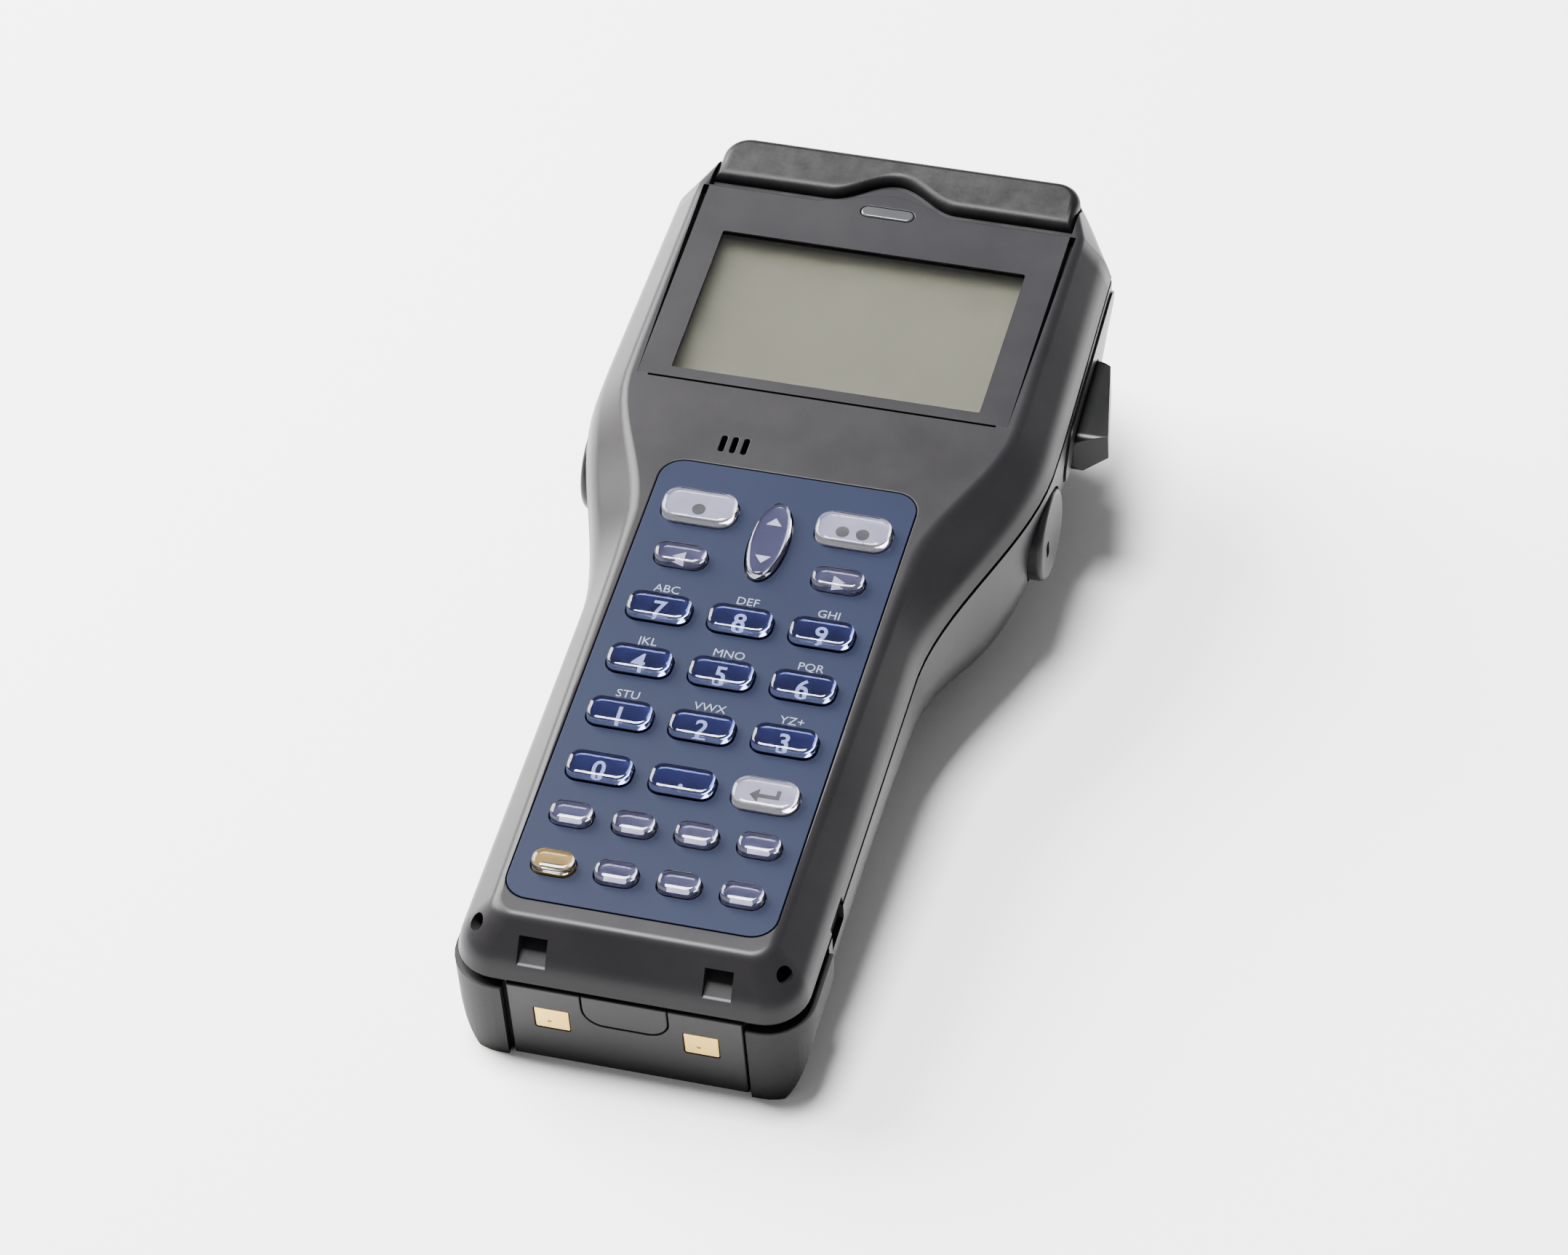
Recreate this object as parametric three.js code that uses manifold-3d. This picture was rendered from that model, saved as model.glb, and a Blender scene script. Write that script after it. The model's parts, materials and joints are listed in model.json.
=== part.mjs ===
// Handheld data terminal: a battery powered keypad computer with a display, a scanner in its head,
// a trigger on each side and a battery pack that slides out of the lower end.
//
// Millimetres. The housing is drawn in its own frame: x to the right, y towards the head, z out of
// the key face, with the middle of key 8 on the face as its zero. The last lines tilt the housing as it
// lies on a table and put the zero of the part at the bottom centre of its box, with +Z up.

import * as THREE from 'three';
import { mergeVertices } from 'three/addons/utils/BufferGeometryUtils.js';
import Module from 'manifold-3d';

const wasm = await Module();
wasm.setup();

// ---------------------------------------------------------------- driving dimensions

const gap = 0.3; // between pieces that touch
const wall = 2.2; // side and back walls
const faceWall = 2.6; // the wall under keypad and display

const gripLow = -63.2; // y of the lower end at the parting line
const headHigh = 94; // y of the housing under the bumper
const gripWidth = 50.2; // across the sides of the grip
const headFlare = 10; // how far each side steps out from grip to head
const faceTaper = 0.018; // the key face opens by this much per millimetre towards the head
const headTaper = 0.02; // the sides of the head close again by this much per millimetre
const gripDepth = 24.5; // face to back, at the grip
const headDepth = 41.2; // face to back, at the scanner
const partingZ = -8; // underside of the front case
const partingGap = 1.2; // room for the gasket

const keyPitch = 12; // number keys, across
const keyRowPitch = 10.17; // number keys, along
const smallPitch = 9; // function keys, across
const keyTravel = 0.7;
const panelHalfWidth = 19.3;
const panelLow = -54.6;
const panelHigh = 29;
const panelCorner = 3.6;
const panelThickness = 1.2;
const ledge = 1.2; // the case under the rim of the keypad panel

const bezelHalfWidth = 28.2;
const bezelLow = 45;
const bezelHigh = 85.2;
const bezelThickness = 1.5;
const screenHalfWidth = 23.5;
const screenLow = 47;
const screenHigh = 76.1;
const screenDepth = 3.4; // top of the liquid crystal panel under the face

const bumperProud = 0.5;
const bumperThickness = 1.5;
const bumperCorner = 4;
const bumperHalfWidth = 28;
const bumperEdge = 86.3; // y of its lower edge, beside the finger notch
const bumperNotch = 4.4; // how far the notch rises
const bumperDrop = 12; // how far it wraps down over the head end

const packHalfWidth = 16.9;
const packHigh = 2; // y of the inner end of the battery bay
const beyond = gripLow - 10; // past the lower end, where cuts start
const packEnd = gripLow + 2; // y behind the end panel of the pack
const bayRoof = -12.3;
const rail = { low: -16.6, high: -15 };
const railReach = 0.6; // the rails in the bay stand out by this much

const triggerLow = 56.5;
const triggerHigh = 74;
const triggerZ = -16.75;
const triggerHeight = 7.5;
const triggerProud = { left: 1.9, right: 5 }; // how far each stands out of the side of the head
const triggerTravel = 1.5;

const coverDepth = 1.2; // how deep side panels, strap anchors and corner guards are let in
const panelProud = 0.3;
const guardProud = 0.7;
const guardHigh = gripLow + 15.2;
const notch = { x: gripWidth / 2 - 1, low: gripLow + 17.2, high: gripLow + 23.2, up: 1.2, down: 2.4 };

const screwX = packHalfWidth + 4;
const screwRows = [gripLow + 25.2, packHigh + 2];
const screwShaft = 1.1;
const bossRadius = 2.6;
const screwHead = 2.3;
const screwHeadThickness = 1.9;
const screwSeat = 7.5 - gripDepth; // z of the shoulder under the screw heads

// ---------------------------------------------------------------- solids

function solid(geometry) {
  const bare = geometry.index ? geometry.toNonIndexed() : geometry.clone();
  bare.deleteAttribute('normal');
  bare.deleteAttribute('uv');
  const merged = mergeVertices(bare, 1e-5);
  const vertProperties = new Float32Array(merged.attributes.position.array);
  const triVerts = new Uint32Array(merged.index.array);
  return new wasm.Manifold(new wasm.Mesh({ numProp: 3, vertProperties, triVerts }));
}

function geometryOf(body) {
  const mesh = body.getMesh();
  const geometry = new THREE.BufferGeometry();
  geometry.setAttribute('position', new THREE.BufferAttribute(new Float32Array(mesh.vertProperties), 3));
  geometry.setIndex(new THREE.BufferAttribute(new Uint32Array(mesh.triVerts), 1));
  geometry.computeVertexNormals();
  return geometry;
}

function box(x0, x1, y0, y1, z0, z1) {
  const geometry = new THREE.BoxGeometry(x1 - x0, y1 - y0, z1 - z0);
  return solid(geometry.translate((x0 + x1) / 2, (y0 + y1) / 2, (z0 + z1) / 2));
}

// A flat outline raised from z0 to z1.
function slab(shape, z0, z1, curveSegments = 3) {
  const geometry = new THREE.ExtrudeGeometry(shape, { depth: z1 - z0, bevelEnabled: false, curveSegments });
  return solid(geometry.translate(0, 0, z0));
}

// An outline in the (y, z) plane, run across from x0 to x1.
function sideSlab(shape, x0, x1, curveSegments = 3) {
  const geometry = new THREE.ExtrudeGeometry(shape, { depth: x1 - x0, bevelEnabled: false, curveSegments });
  const turn = new THREE.Matrix4().makeBasis(
    new THREE.Vector3(0, 1, 0), new THREE.Vector3(0, 0, 1), new THREE.Vector3(1, 0, 0));
  return solid(geometry.applyMatrix4(turn).translate(x0, 0, 0));
}

// An outline in the (x, z) plane, run along from y0 to y1.
function endSlab(shape, y0, y1, curveSegments = 3) {
  const geometry = new THREE.ExtrudeGeometry(shape, { depth: y1 - y0, bevelEnabled: false, curveSegments });
  return solid(geometry.rotateX(Math.PI / 2).translate(0, y1, 0));
}

function pillar(x, y, radius, z0, z1, sides = 12) {
  const geometry = new THREE.CylinderGeometry(radius, radius, z1 - z0, sides);
  return solid(geometry.rotateX(Math.PI / 2).translate(x, y, (z0 + z1) / 2));
}

function polygon(points) {
  return new THREE.Shape(points.map(([u, v]) => new THREE.Vector2(u, v)));
}

function roundedRect(u0, u1, v0, v1, radius) {
  const shape = new THREE.Shape();
  shape.moveTo(u0 + radius, v0);
  shape.lineTo(u1 - radius, v0);
  shape.absarc(u1 - radius, v0 + radius, radius, -Math.PI / 2, 0, false);
  shape.lineTo(u1, v1 - radius);
  shape.absarc(u1 - radius, v1 - radius, radius, 0, Math.PI / 2, false);
  shape.lineTo(u0 + radius, v1);
  shape.absarc(u0 + radius, v1 - radius, radius, Math.PI / 2, Math.PI, false);
  shape.lineTo(u0, v0 + radius);
  shape.absarc(u0 + radius, v0 + radius, radius, Math.PI, Math.PI * 1.5, false);
  return shape;
}

// Closes a stack of rings, each with the same number of points, into one body.
function loft(rings) {
  const count = rings[0].length;
  const flat = rings[0].map((p) => p.flat);
  const caps = THREE.ShapeUtils.triangulateShape(flat, []);
  const corners = [];
  const put = (...points) => points.forEach((p) => corners.push(p.x, p.y, p.z));
  for (let r = 0; r + 1 < rings.length; r += 1) {
    for (let i = 0; i < count; i += 1) {
      const j = (i + 1) % count;
      put(rings[r][i].at, rings[r][j].at, rings[r + 1][j].at);
      put(rings[r][i].at, rings[r + 1][j].at, rings[r + 1][i].at);
    }
  }
  const last = rings[rings.length - 1];
  for (const [a, b, c] of caps) {
    put(rings[0][a].at, rings[0][c].at, rings[0][b].at);
    put(last[a].at, last[b].at, last[c].at);
  }
  const geometry = new THREE.BufferGeometry();
  geometry.setAttribute('position', new THREE.Float32BufferAttribute(corners, 3));
  return solid(geometry);
}

// ---------------------------------------------------------------- housing outline

// Each level is a slice across the housing: half width of the grip at key 8, the step out to the
// head, where that step starts and ends, both ends, and the corners of both ends.
const faceLevel = {
  z: 0, half: gripWidth / 2 - 4.2, taper: faceTaper, rise: headFlare - 2, from: 17, to: 45,
  low: gripLow + 5.3, high: headHigh, corner: 3.4, shoulder: [2.8, 8],
};
const chamferLevel = {
  z: -5, half: gripWidth / 2 - 0.5, taper: 0, rise: headFlare - 0.4, from: 2, to: 46,
  low: gripLow + 1.1, high: headHigh, corner: 5.6, shoulder: [4.6, 8],
};
const partingLevel = {
  z: partingZ, half: gripWidth / 2, taper: 0, rise: headFlare, from: 1, to: 45,
  low: gripLow, high: headHigh, corner: 6.2, shoulder: [4.6, 8.4],
};

function halfWidth(level, y) {
  const step = level.rise * THREE.MathUtils.smoothstep(y, level.from, level.to);
  return level.half + level.taper * y + step - headTaper * Math.max(0, y - 50);
}

// Points up the right side and down the left side of one level, drawn in by an inset.
function outline(level, inset = 0) {
  const low = level.low + inset;
  const high = level.high - inset;
  const radius = Math.max(level.corner - inset, 0.8);
  const right = [];
  for (let i = 0; i <= 4; i += 1) {
    const turn = (i / 4) * (Math.PI / 2);
    const edge = halfWidth(level, low + radius) - inset;
    right.push([edge - radius + radius * Math.sin(turn), low + radius - radius * Math.cos(turn)]);
  }
  const bendHigh = high - level.shoulder[1];
  const steps = 14;
  for (let i = 1; i <= steps; i += 1) {
    const y = THREE.MathUtils.lerp(Math.max(low + radius, -10), bendHigh, i / steps);
    right.push([halfWidth(level, y) - inset, y]);
  }
  right.push([halfWidth(level, bendHigh) - inset - level.shoulder[0], high]);
  const left = right.map(([x, y]) => [-x, y]).reverse();
  return [...right, ...left];
}

function ring(level, inset = 0, z = level.z) {
  return outline(level, inset).map(([x, y]) => ({
    flat: new THREE.Vector2(x, y),
    at: new THREE.Vector3(x, y, z),
  }));
}

// How deep the back of the housing lies under the face.
function backDepth(y) {
  const back = gripDepth + (headDepth - gripDepth) * THREE.MathUtils.smoothstep(y, 0, 62);
  const nose = headDepth - (y - noseLow) * noseSlope;
  return Math.min(back, nose);
}

const noseLow = 80; // y where the scanner window starts to climb
const noseSlope = 1.45;

// The body below the parting line: sections across the housing, from the lower end to the head.
function rearBody(inset, top, low = gripLow + inset, high = headHigh - inset) {
  const stations = [low, -55, -20, -5, 6, 14, 22, 30, 38, 46, 54, 62, 70, 76, noseLow, 87, high];
  const rings = stations.filter((y, i) => i === 0 || (y > low && y <= high)).map((y) => {
    const half = halfWidth(partingLevel, y) - inset;
    const bottom = -backDepth(y) + inset;
    // The corner of the section: a quarter ellipse, slim at the end, tighter at the neck, full at the head.
    const neck = THREE.MathUtils.smoothstep(y, -20, 15);
    const head = THREE.MathUtils.smoothstep(y, 20, 50);
    const reachX = THREE.MathUtils.lerp(THREE.MathUtils.lerp(6.5, 6, neck), 16, head);
    const drop = THREE.MathUtils.lerp(THREE.MathUtils.lerp(15.5, 10, neck), 31, head);
    const reachZ = Math.min(drop, (top - bottom) * 0.97);
    const right = [[half, top]];
    for (let i = 0; i <= 5; i += 1) {
      const turn = (i / 5) * (Math.PI / 2);
      right.push([half - reachX + reachX * Math.cos(turn), bottom + reachZ - reachZ * Math.sin(turn)]);
    }
    const points = [...right.map(([x, z]) => [-x, z]), ...right.reverse()];
    return points.map(([x, z]) => ({ flat: new THREE.Vector2(x, z), at: new THREE.Vector3(x, y, z) }));
  });
  return loft(rings.reverse()).intersect(slab(polygon(outline(partingLevel, inset)), -60, top));
}

// The table, as a block to cut away: it meets the lower end and the underside of the head.
const restLow = { y: -60, z: 0.3 - gripDepth };
const restHigh = { y: 72, z: 0.5 - headDepth };
const restTilt = Math.atan2(restLow.z - restHigh.z, restHigh.y - restLow.y);
function table() {
  const reach = 120;
  const slope = Math.tan(restTilt);
  const at = (y) => restLow.z - (y - restLow.y) * slope;
  const under = [[-reach, -reach], [reach, -reach], [reach, at(reach)], [-reach, at(-reach)]];
  return sideSlab(polygon(under), -60, 60);
}

// ---------------------------------------------------------------- finishes and assembly

function finish(color, roughness, metalness = 0) {
  return () => new THREE.MeshStandardMaterial({ color, roughness, metalness });
}
const casePlastic = finish(0x58565a, 0.45);
const endPlastic = finish(0x5c5a5c, 0.5);
const bezelPlastic = finish(0x5c5c62, 0.4);
const panelBlue = finish(0x48546e, 0.55);
const keyNavy = finish(0x28305a, 0.2);
const keyLavender = finish(0xb4b4cc, 0.2);
const keySmoke = finish(0x8a8ca8, 0.2);
const keyGold = finish(0xb8a068, 0.25);
const rubberBlack = finish(0x2e2e32, 0.75);
const triggerBlack = finish(0x26262a, 0.35);
const screenGlass = finish(0x98968a, 0.15);
const clearPlastic = finish(0xd8dce0, 0.05);
const lensGrey = finish(0xa6a8aa, 0.15);
const siliconeGrey = finish(0x8a8a90, 0.8);
const boardGreen = finish(0x1f5a38, 0.5);
const tinnedSteel = finish(0xb8bac0, 0.3, 1);
const screwSteel = finish(0x3a3a3e, 0.35, 1);
const contactGold = finish(0xfad78c, 0.25, 1);
const packGrey = finish(0x505056, 0.6);
const scanRed = finish(0x4a1418, 0.08);

const terminal = new THREE.Group();

function add(name, body, material) {
  const mesh = new THREE.Mesh(geometryOf(body), material());
  mesh.name = name;
  terminal.add(mesh);
}

const sides = [['left', -1], ['right', 1]];
const mirrored = (body, side) => (side > 0 ? body : body.mirror([1, 0, 0]));

// ---------------------------------------------------------------- front case

const faceUnder = -faceWall;
const panelSeat = -panelThickness - gap;
const bezelSeat = -bezelThickness - gap;
const bumperSeat = -bumperThickness - gap;
const hookSocket = { x: 13.2, width: 4.1, high: -2, low: -5.4 };
const strapHole = { x: gripWidth / 2 - 3.5, y: gripLow + 5.6, z: -3.1, radius: 1.15 };
const slitCentre = { x: -10.1, y: 33.4 };

// Height of a smooth rise across the middle of the head, used by the finger notch and the bezel.
function midRise(x, reach) {
  return Math.abs(x) < reach ? Math.cos((x / reach) * (Math.PI / 2)) ** 2 : 0;
}
function headPlate(half, low, high, rise, reach, riseOnLow) {
  const wave = [];
  for (let i = -5; i <= 5; i += 1) {
    const x = (i / 5) * reach;
    wave.push([x, (riseOnLow ? low : high) + rise * midRise(x, reach)]);
  }
  if (riseOnLow) return polygon([[-half, high], [-half, low], ...wave, [half, low], [half, high]]);
  return polygon([[-half, low], [half, low], [half, high], ...wave.reverse(), [-half, high]]);
}
function bezelOutline(spare) {
  return headPlate(bezelHalfWidth + spare, bezelLow - spare, bezelHigh + spare, 3, 12, false);
}
function panelOutline(spare) {
  const half = panelHalfWidth + spare;
  return roundedRect(-half, half, panelLow - spare, panelHigh + spare, panelCorner);
}

function frontCase() {
  const bottom = partingZ;
  const shell = loft([
    ring(partingLevel, 0, bottom), ring(chamferLevel), ring(faceLevel),
  ]);
  const hollow = loft([
    ring(partingLevel, wall, bottom - 1), ring(chamferLevel, wall, -5.4), ring(faceLevel, wall, faceUnder),
  ]);
  let body = shell.subtract(hollow);
  for (const y of screwRows) {
    for (const [, side] of sides) {
      body = body.add(pillar(side * screwX, y, bossRadius, bottom, faceUnder + 0.5).intersect(shell));
    }
  }
  const through = { low: -12, high: 1 };
  body = body
    .subtract(slab(panelOutline(gap), panelSeat, 1))
    .subtract(slab(panelOutline(-ledge), through.low, 1))
    .subtract(slab(bezelOutline(gap), bezelSeat, 1))
    .subtract(box(-screenHalfWidth - 3, screenHalfWidth + 3,
      screenLow - 2.4, screenHigh + 2.4, through.low, 1))
    .subtract(box(-60, 60, bumperEdge - 0.8, 120, bumperSeat, 1).intersect(
      slab(headPlate(bumperHalfWidth + gap, bumperEdge - 0.8, 120, bumperNotch, 10, true), -20, 2)));
  for (let i = -1; i <= 1; i += 1) {
    const x = slitCentre.x + i * 1.7;
    body = body.subtract(box(x - 0.45, x + 0.45, slitCentre.y - 1.6, slitCentre.y + 1.6, through.low, 1));
  }
  for (const [, side] of sides) {
    const half = hookSocket.width / 2;
    const x = side * hookSocket.x;
    body = body.subtract(box(x - half, x + half, beyond, gripLow + 5.6, hookSocket.low, hookSocket.high));
    const bore = new THREE.CylinderGeometry(strapHole.radius, strapHole.radius, 9, 8);
    const lean = new THREE.Vector3(side * 0.6, -0.62, 0.5).normalize();
    bore.applyQuaternion(new THREE.Quaternion().setFromUnitVectors(new THREE.Vector3(0, 1, 0), lean));
    body = body.subtract(solid(bore.translate(side * strapHole.x, strapHole.y, strapHole.z)));
    for (const y of screwRows) {
      body = body.subtract(pillar(side * screwX, y, screwShaft + gap, bottom - 1, faceUnder - 0.6));
    }
    const notchUp = box(notch.x, 60, notch.low, notch.high, bottom - 1, bottom + notch.up);
    body = body.subtract(mirrored(notchUp, side));
  }
  return body;
}
add('front_case', frontCase(), casePlastic);

// ---------------------------------------------------------------- rear case

const rearTop = partingZ - partingGap;
const bayHalf = packHalfWidth + gap;
const sidePanel = { low: 51.5, high: 88, z0: -20.2, z1: -9.9 };
const anchor = { y: 41, z: -17.4, radius: 7, outer: gripWidth / 2 + headFlare + 0.4 };

function anchorDrum(radius, outer) {
  const drum = new THREE.CylinderGeometry(radius, radius, outer - 20, 24);
  return solid(drum.rotateZ(Math.PI / 2).translate((20 + outer) / 2, anchor.y, anchor.z));
}
function sidePanelShape(spare) {
  const { low, high, z0, z1 } = sidePanel;
  return roundedRect(low - spare, high + spare, z0 - spare, z1 + spare, (z1 - z0) / 2);
}
function triggerShape(spare) {
  const half = triggerHeight / 2 + spare;
  return roundedRect(triggerLow - spare, triggerHigh + spare, triggerZ - half, triggerZ + half, 1.6);
}
function windowFrame(spare) {
  return roundedRect(-15.5 - spare, 15.5 + spare, -9 - spare, 9 + spare, 2.4);
}
const noseOut = new THREE.Vector3(0, noseSlope, -1).normalize();
const across = new THREE.Vector3(1, 0, 0);
const windowPose = new THREE.Matrix4().makeBasis(across, noseOut.clone().cross(across), noseOut);
windowPose.setPosition(0, noseLow + 6.6, -backDepth(noseLow + 6.6));
function windowSlab(spare, back, front) {
  const geometry = new THREE.ExtrudeGeometry(windowFrame(spare), {
    depth: front - back, bevelEnabled: false, curveSegments: 3,
  });
  return solid(geometry.translate(0, 0, back).applyMatrix4(windowPose));
}

function rearCase() {
  const cavityTop = rearTop + 1;
  const headHollow = rearBody(wall, cavityTop, packHigh + wall);
  const gripHollow = slab(polygon(outline(partingLevel, wall)), bayRoof + 1.3, cavityTop).intersect(
    box(-60, 60, gripLow + 4.4, packHigh + wall + 1, -20, 0));
  let body = rearBody(0, rearTop)
    .subtract(headHollow)
    .subtract(gripHollow)
    .subtract(box(-bayHalf, bayHalf, beyond, packHigh + gap, -60, bayRoof))
    .subtract(box(-bayHalf, bayHalf, beyond, gripLow + 2.4, -60, 0))
    .subtract(windowSlab(gap, -1.8, 8))
    .subtract(windowSlab(-1.6, -12, 8))
    .subtract(table());
  // Everything let into the skin: side panels, strap anchors and corner guards, each with its gap.
  const lettingIn = sideSlab(sidePanelShape(gap), 20, 60)
    .add(anchorDrum(anchor.radius + gap, 60))
    .add(cornerZone(gap))
    .subtract(rearBody(coverDepth + gap, rearTop + 2));
  for (const [, side] of sides) {
    const railMiddle = side * (bayHalf - railReach / 2);
    body = body
      .subtract(mirrored(lettingIn, side))
      .subtract(mirrored(sideSlab(triggerShape(gap), 20, 60), side))
      .add(box(railMiddle - railReach / 2 - 0.1, railMiddle + railReach / 2 + 0.1,
        packEnd + 3, packHigh + 0.5, rail.low, rail.high));
    for (const y of screwRows) {
      body = body
        .subtract(pillar(side * screwX, y, screwShaft + gap, -40, 0, 8))
        .subtract(pillar(side * screwX, y, screwHead + gap, -60, screwSeat));
    }
    body = body.subtract(mirrored(box(notch.x, 60, notch.low, notch.high, rearTop - notch.down, 0), side));
  }
  return body;
}

// Round one lower corner, from the seam beside the pack to the side.
function cornerZone(spare) {
  return box(bayHalf + gap - spare, 60, beyond, guardHigh + spare, -gripDepth - 1, 0);
}

// A layer that follows the skin of the rear case, from the depth of the recesses out to proud of it.
function skinLayer(proud) {
  return rearBody(-proud, rearTop).subtract(rearBody(coverDepth, rearTop + 2));
}
add('rear_case', rearCase(), casePlastic);

function notchCut(side) {
  return mirrored(box(notch.x - gap, 60, notch.low - gap, notch.high + gap, -20, 0), side);
}
add('case_gasket', slab(polygon(outline(partingLevel, 0.6)), rearTop + gap, partingZ - gap)
  .subtract(slab(polygon(outline(partingLevel, 1.8)), -20, 0))
  .add(box(-bayHalf - 1.6, bayHalf + 1.6, gripLow + 1, gripLow + 3.9, rearTop + gap, partingZ - gap))
  .subtract(box(-bayHalf, bayHalf, beyond, gripLow + 2.7, -20, 0))
  .subtract(notchCut(1))
  .subtract(notchCut(-1)), rubberBlack);

// ---------------------------------------------------------------- display

add('display_bezel', slab(bezelOutline(0), -bezelThickness, 0)
  .subtract(box(-screenHalfWidth, screenHalfWidth, screenLow, screenHigh, -5, 1))
  .subtract(slab(lensOutline(gap), -5, 1, 6)), bezelPlastic);

function lensOutline(spare) {
  return roundedRect(-4.1 - spare, 4.1 + spare, 83.4 - spare, 85.6 + spare, 1.1 + spare);
}
add('status_lens', slab(lensOutline(0), -bezelThickness, 0.1, 6), lensGrey);

add('display_window', box(-screenHalfWidth - 1.6, screenHalfWidth + 1.6, screenLow - 1.6, screenHigh + 1.6,
  -bezelThickness - gap - 1, -bezelThickness - gap), clearPlastic);
add('lcd_module', box(-screenHalfWidth - 2.4, screenHalfWidth + 2.4, screenLow - 2, screenHigh + 2,
  -screenDepth - 3, -screenDepth), screenGlass);

// ---------------------------------------------------------------- bumper

const bumperHigh = headHigh + 2.6;
const bumperShape = headPlate(bumperHalfWidth, bumperEdge, bumperHigh, bumperNotch, 10, true);
add('head_bumper', slab(bumperShape, -bumperThickness, bumperProud)
  .add(box(-bumperHalfWidth, bumperHalfWidth, headHigh + gap, bumperHigh, -bumperDrop, bumperProud))
  .intersect(slab(roundedRect(-bumperHalfWidth, bumperHalfWidth, 60, bumperHigh, bumperCorner), -30, 10)),
rubberBlack);

// ---------------------------------------------------------------- keypad

const keyTop = 1.1; // straight part of a key above the face
const flangeTop = -panelThickness - 0.6;
const flangeThickness = 0.7;
const matTop = flangeTop - flangeThickness - keyTravel - gap;
const matThickness = 0.8;
const smallRow = -39.3;
const bottomRow = -48.2;
const upperRow = 19.9;
const arrowRow = 10.35;

const numberKey = { width: keyPitch - 2.6, height: keyRowPitch - 5.37, radius: 1.8, material: keyNavy };
const enterKey = { width: keyPitch - 2.4, height: keyRowPitch - 4.77, radius: 2.3, material: keyLavender };
const wideKey = { width: 11.2, height: 6, radius: 2.4, material: keyLavender };
const arrowKey = { width: 7.8, height: 4, radius: 1.85, material: keySmoke };
const smallKey = { width: smallPitch - 2.8, height: 3.8, radius: 1.75, material: keySmoke };
const powerKey = { ...smallKey, material: keyGold };

const keys = [
  { name: 'key_m1', x: -11.5, y: upperRow, form: wideKey },
  { name: 'key_m2', x: 11.5, y: upperRow, form: wideKey },
  { name: 'key_left', x: -11.7, y: arrowRow, form: arrowKey },
  { name: 'key_right', x: 11.7, y: arrowRow, form: arrowKey },
  { name: 'key_0', x: -keyPitch, y: -3 * keyRowPitch, form: numberKey },
  { name: 'key_point', x: 0, y: -3 * keyRowPitch, form: numberKey },
  { name: 'key_enter', x: keyPitch, y: -3 * keyRowPitch, form: enterKey },
];
[['7', '8', '9'], ['4', '5', '6'], ['1', '2', '3']].forEach((row, line) => {
  row.forEach((digit, column) => {
    keys.push({ name: `key_${digit}`, x: (column - 1) * keyPitch, y: -line * keyRowPitch, form: numberKey });
  });
});
['f1', 'f2', 'f3', 'f4'].forEach((label, column) => {
  keys.push({ name: `key_${label}`, x: (column - 1.5) * smallPitch, y: smallRow, form: smallKey });
});
['power', 'shift', 'back', 'clear'].forEach((label, column) => {
  const form = column === 0 ? powerKey : smallKey;
  keys.push({ name: `key_${label}`, x: (column - 1.5) * smallPitch, y: bottomRow, form });
});

const keyOutline = ({ x, y, form }, spare) => roundedRect(
  x - form.width / 2 - spare, x + form.width / 2 + spare,
  y - form.height / 2 - spare, y + form.height / 2 + spare, form.radius + spare);

const rocker = { x: 0, y: 15.5, half: 2.75, reach: 7.25 };
function rockerOutline(spare) {
  const half = rocker.half + spare;
  const reach = rocker.reach + spare;
  const shape = new THREE.Shape();
  shape.moveTo(0, rocker.y - reach);
  shape.bezierCurveTo(half * 1.34, rocker.y - reach, half * 1.34, rocker.y + reach, 0, rocker.y + reach);
  shape.bezierCurveTo(-half * 1.34, rocker.y + reach, -half * 1.34, rocker.y - reach, 0, rocker.y - reach);
  return shape;
}

for (const key of keys) {
  const shape = keyOutline(key, -0.45);
  const cap = new THREE.ExtrudeGeometry(shape, {
    depth: keyTop - flangeTop, curveSegments: 2,
    bevelEnabled: true, bevelSize: 0.45, bevelThickness: 0.45, bevelSegments: 1,
  });
  const stem = solid(cap.translate(0, 0, flangeTop));
  const flange = slab(keyOutline(key, 0.5), flangeTop - flangeThickness, flangeTop, 2);
  add(key.name, stem.add(flange), key.form.material);
}
add('rocker_key', slab(rockerOutline(0), flangeTop - flangeThickness, keyTop + 0.3, 5)
  .add(box(-rocker.half - 0.9, rocker.half + 0.9, rocker.y - 1, rocker.y + 1,
    flangeTop - flangeThickness, flangeTop)), keySmoke);

let panel = slab(panelOutline(0), -panelThickness, 0);
for (const key of keys) {
  panel = panel.subtract(slab(keyOutline(key, gap), -5, 1, 2));
}
add('keypad_panel', panel.subtract(slab(rockerOutline(gap + 0.1), -5, 1, 5)), panelBlue);

const matHalf = panelHalfWidth - ledge - 0.6;
const boardHalf = screwX - bossRadius - gap;
const matLow = panelLow + ledge + 0.6;
const matHigh = panelHigh - ledge - 0.6;
const boardTop = matTop - matThickness - gap;
add('key_mat', slab(roundedRect(-matHalf, matHalf, matLow, matHigh, 2), matTop - matThickness, matTop),
  siliconeGrey);
add('key_board', box(-boardHalf + 0.2, boardHalf - 0.2, matLow, matHigh, boardTop - 1, boardTop), boardGreen);

// ---------------------------------------------------------------- electronics in the head

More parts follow.
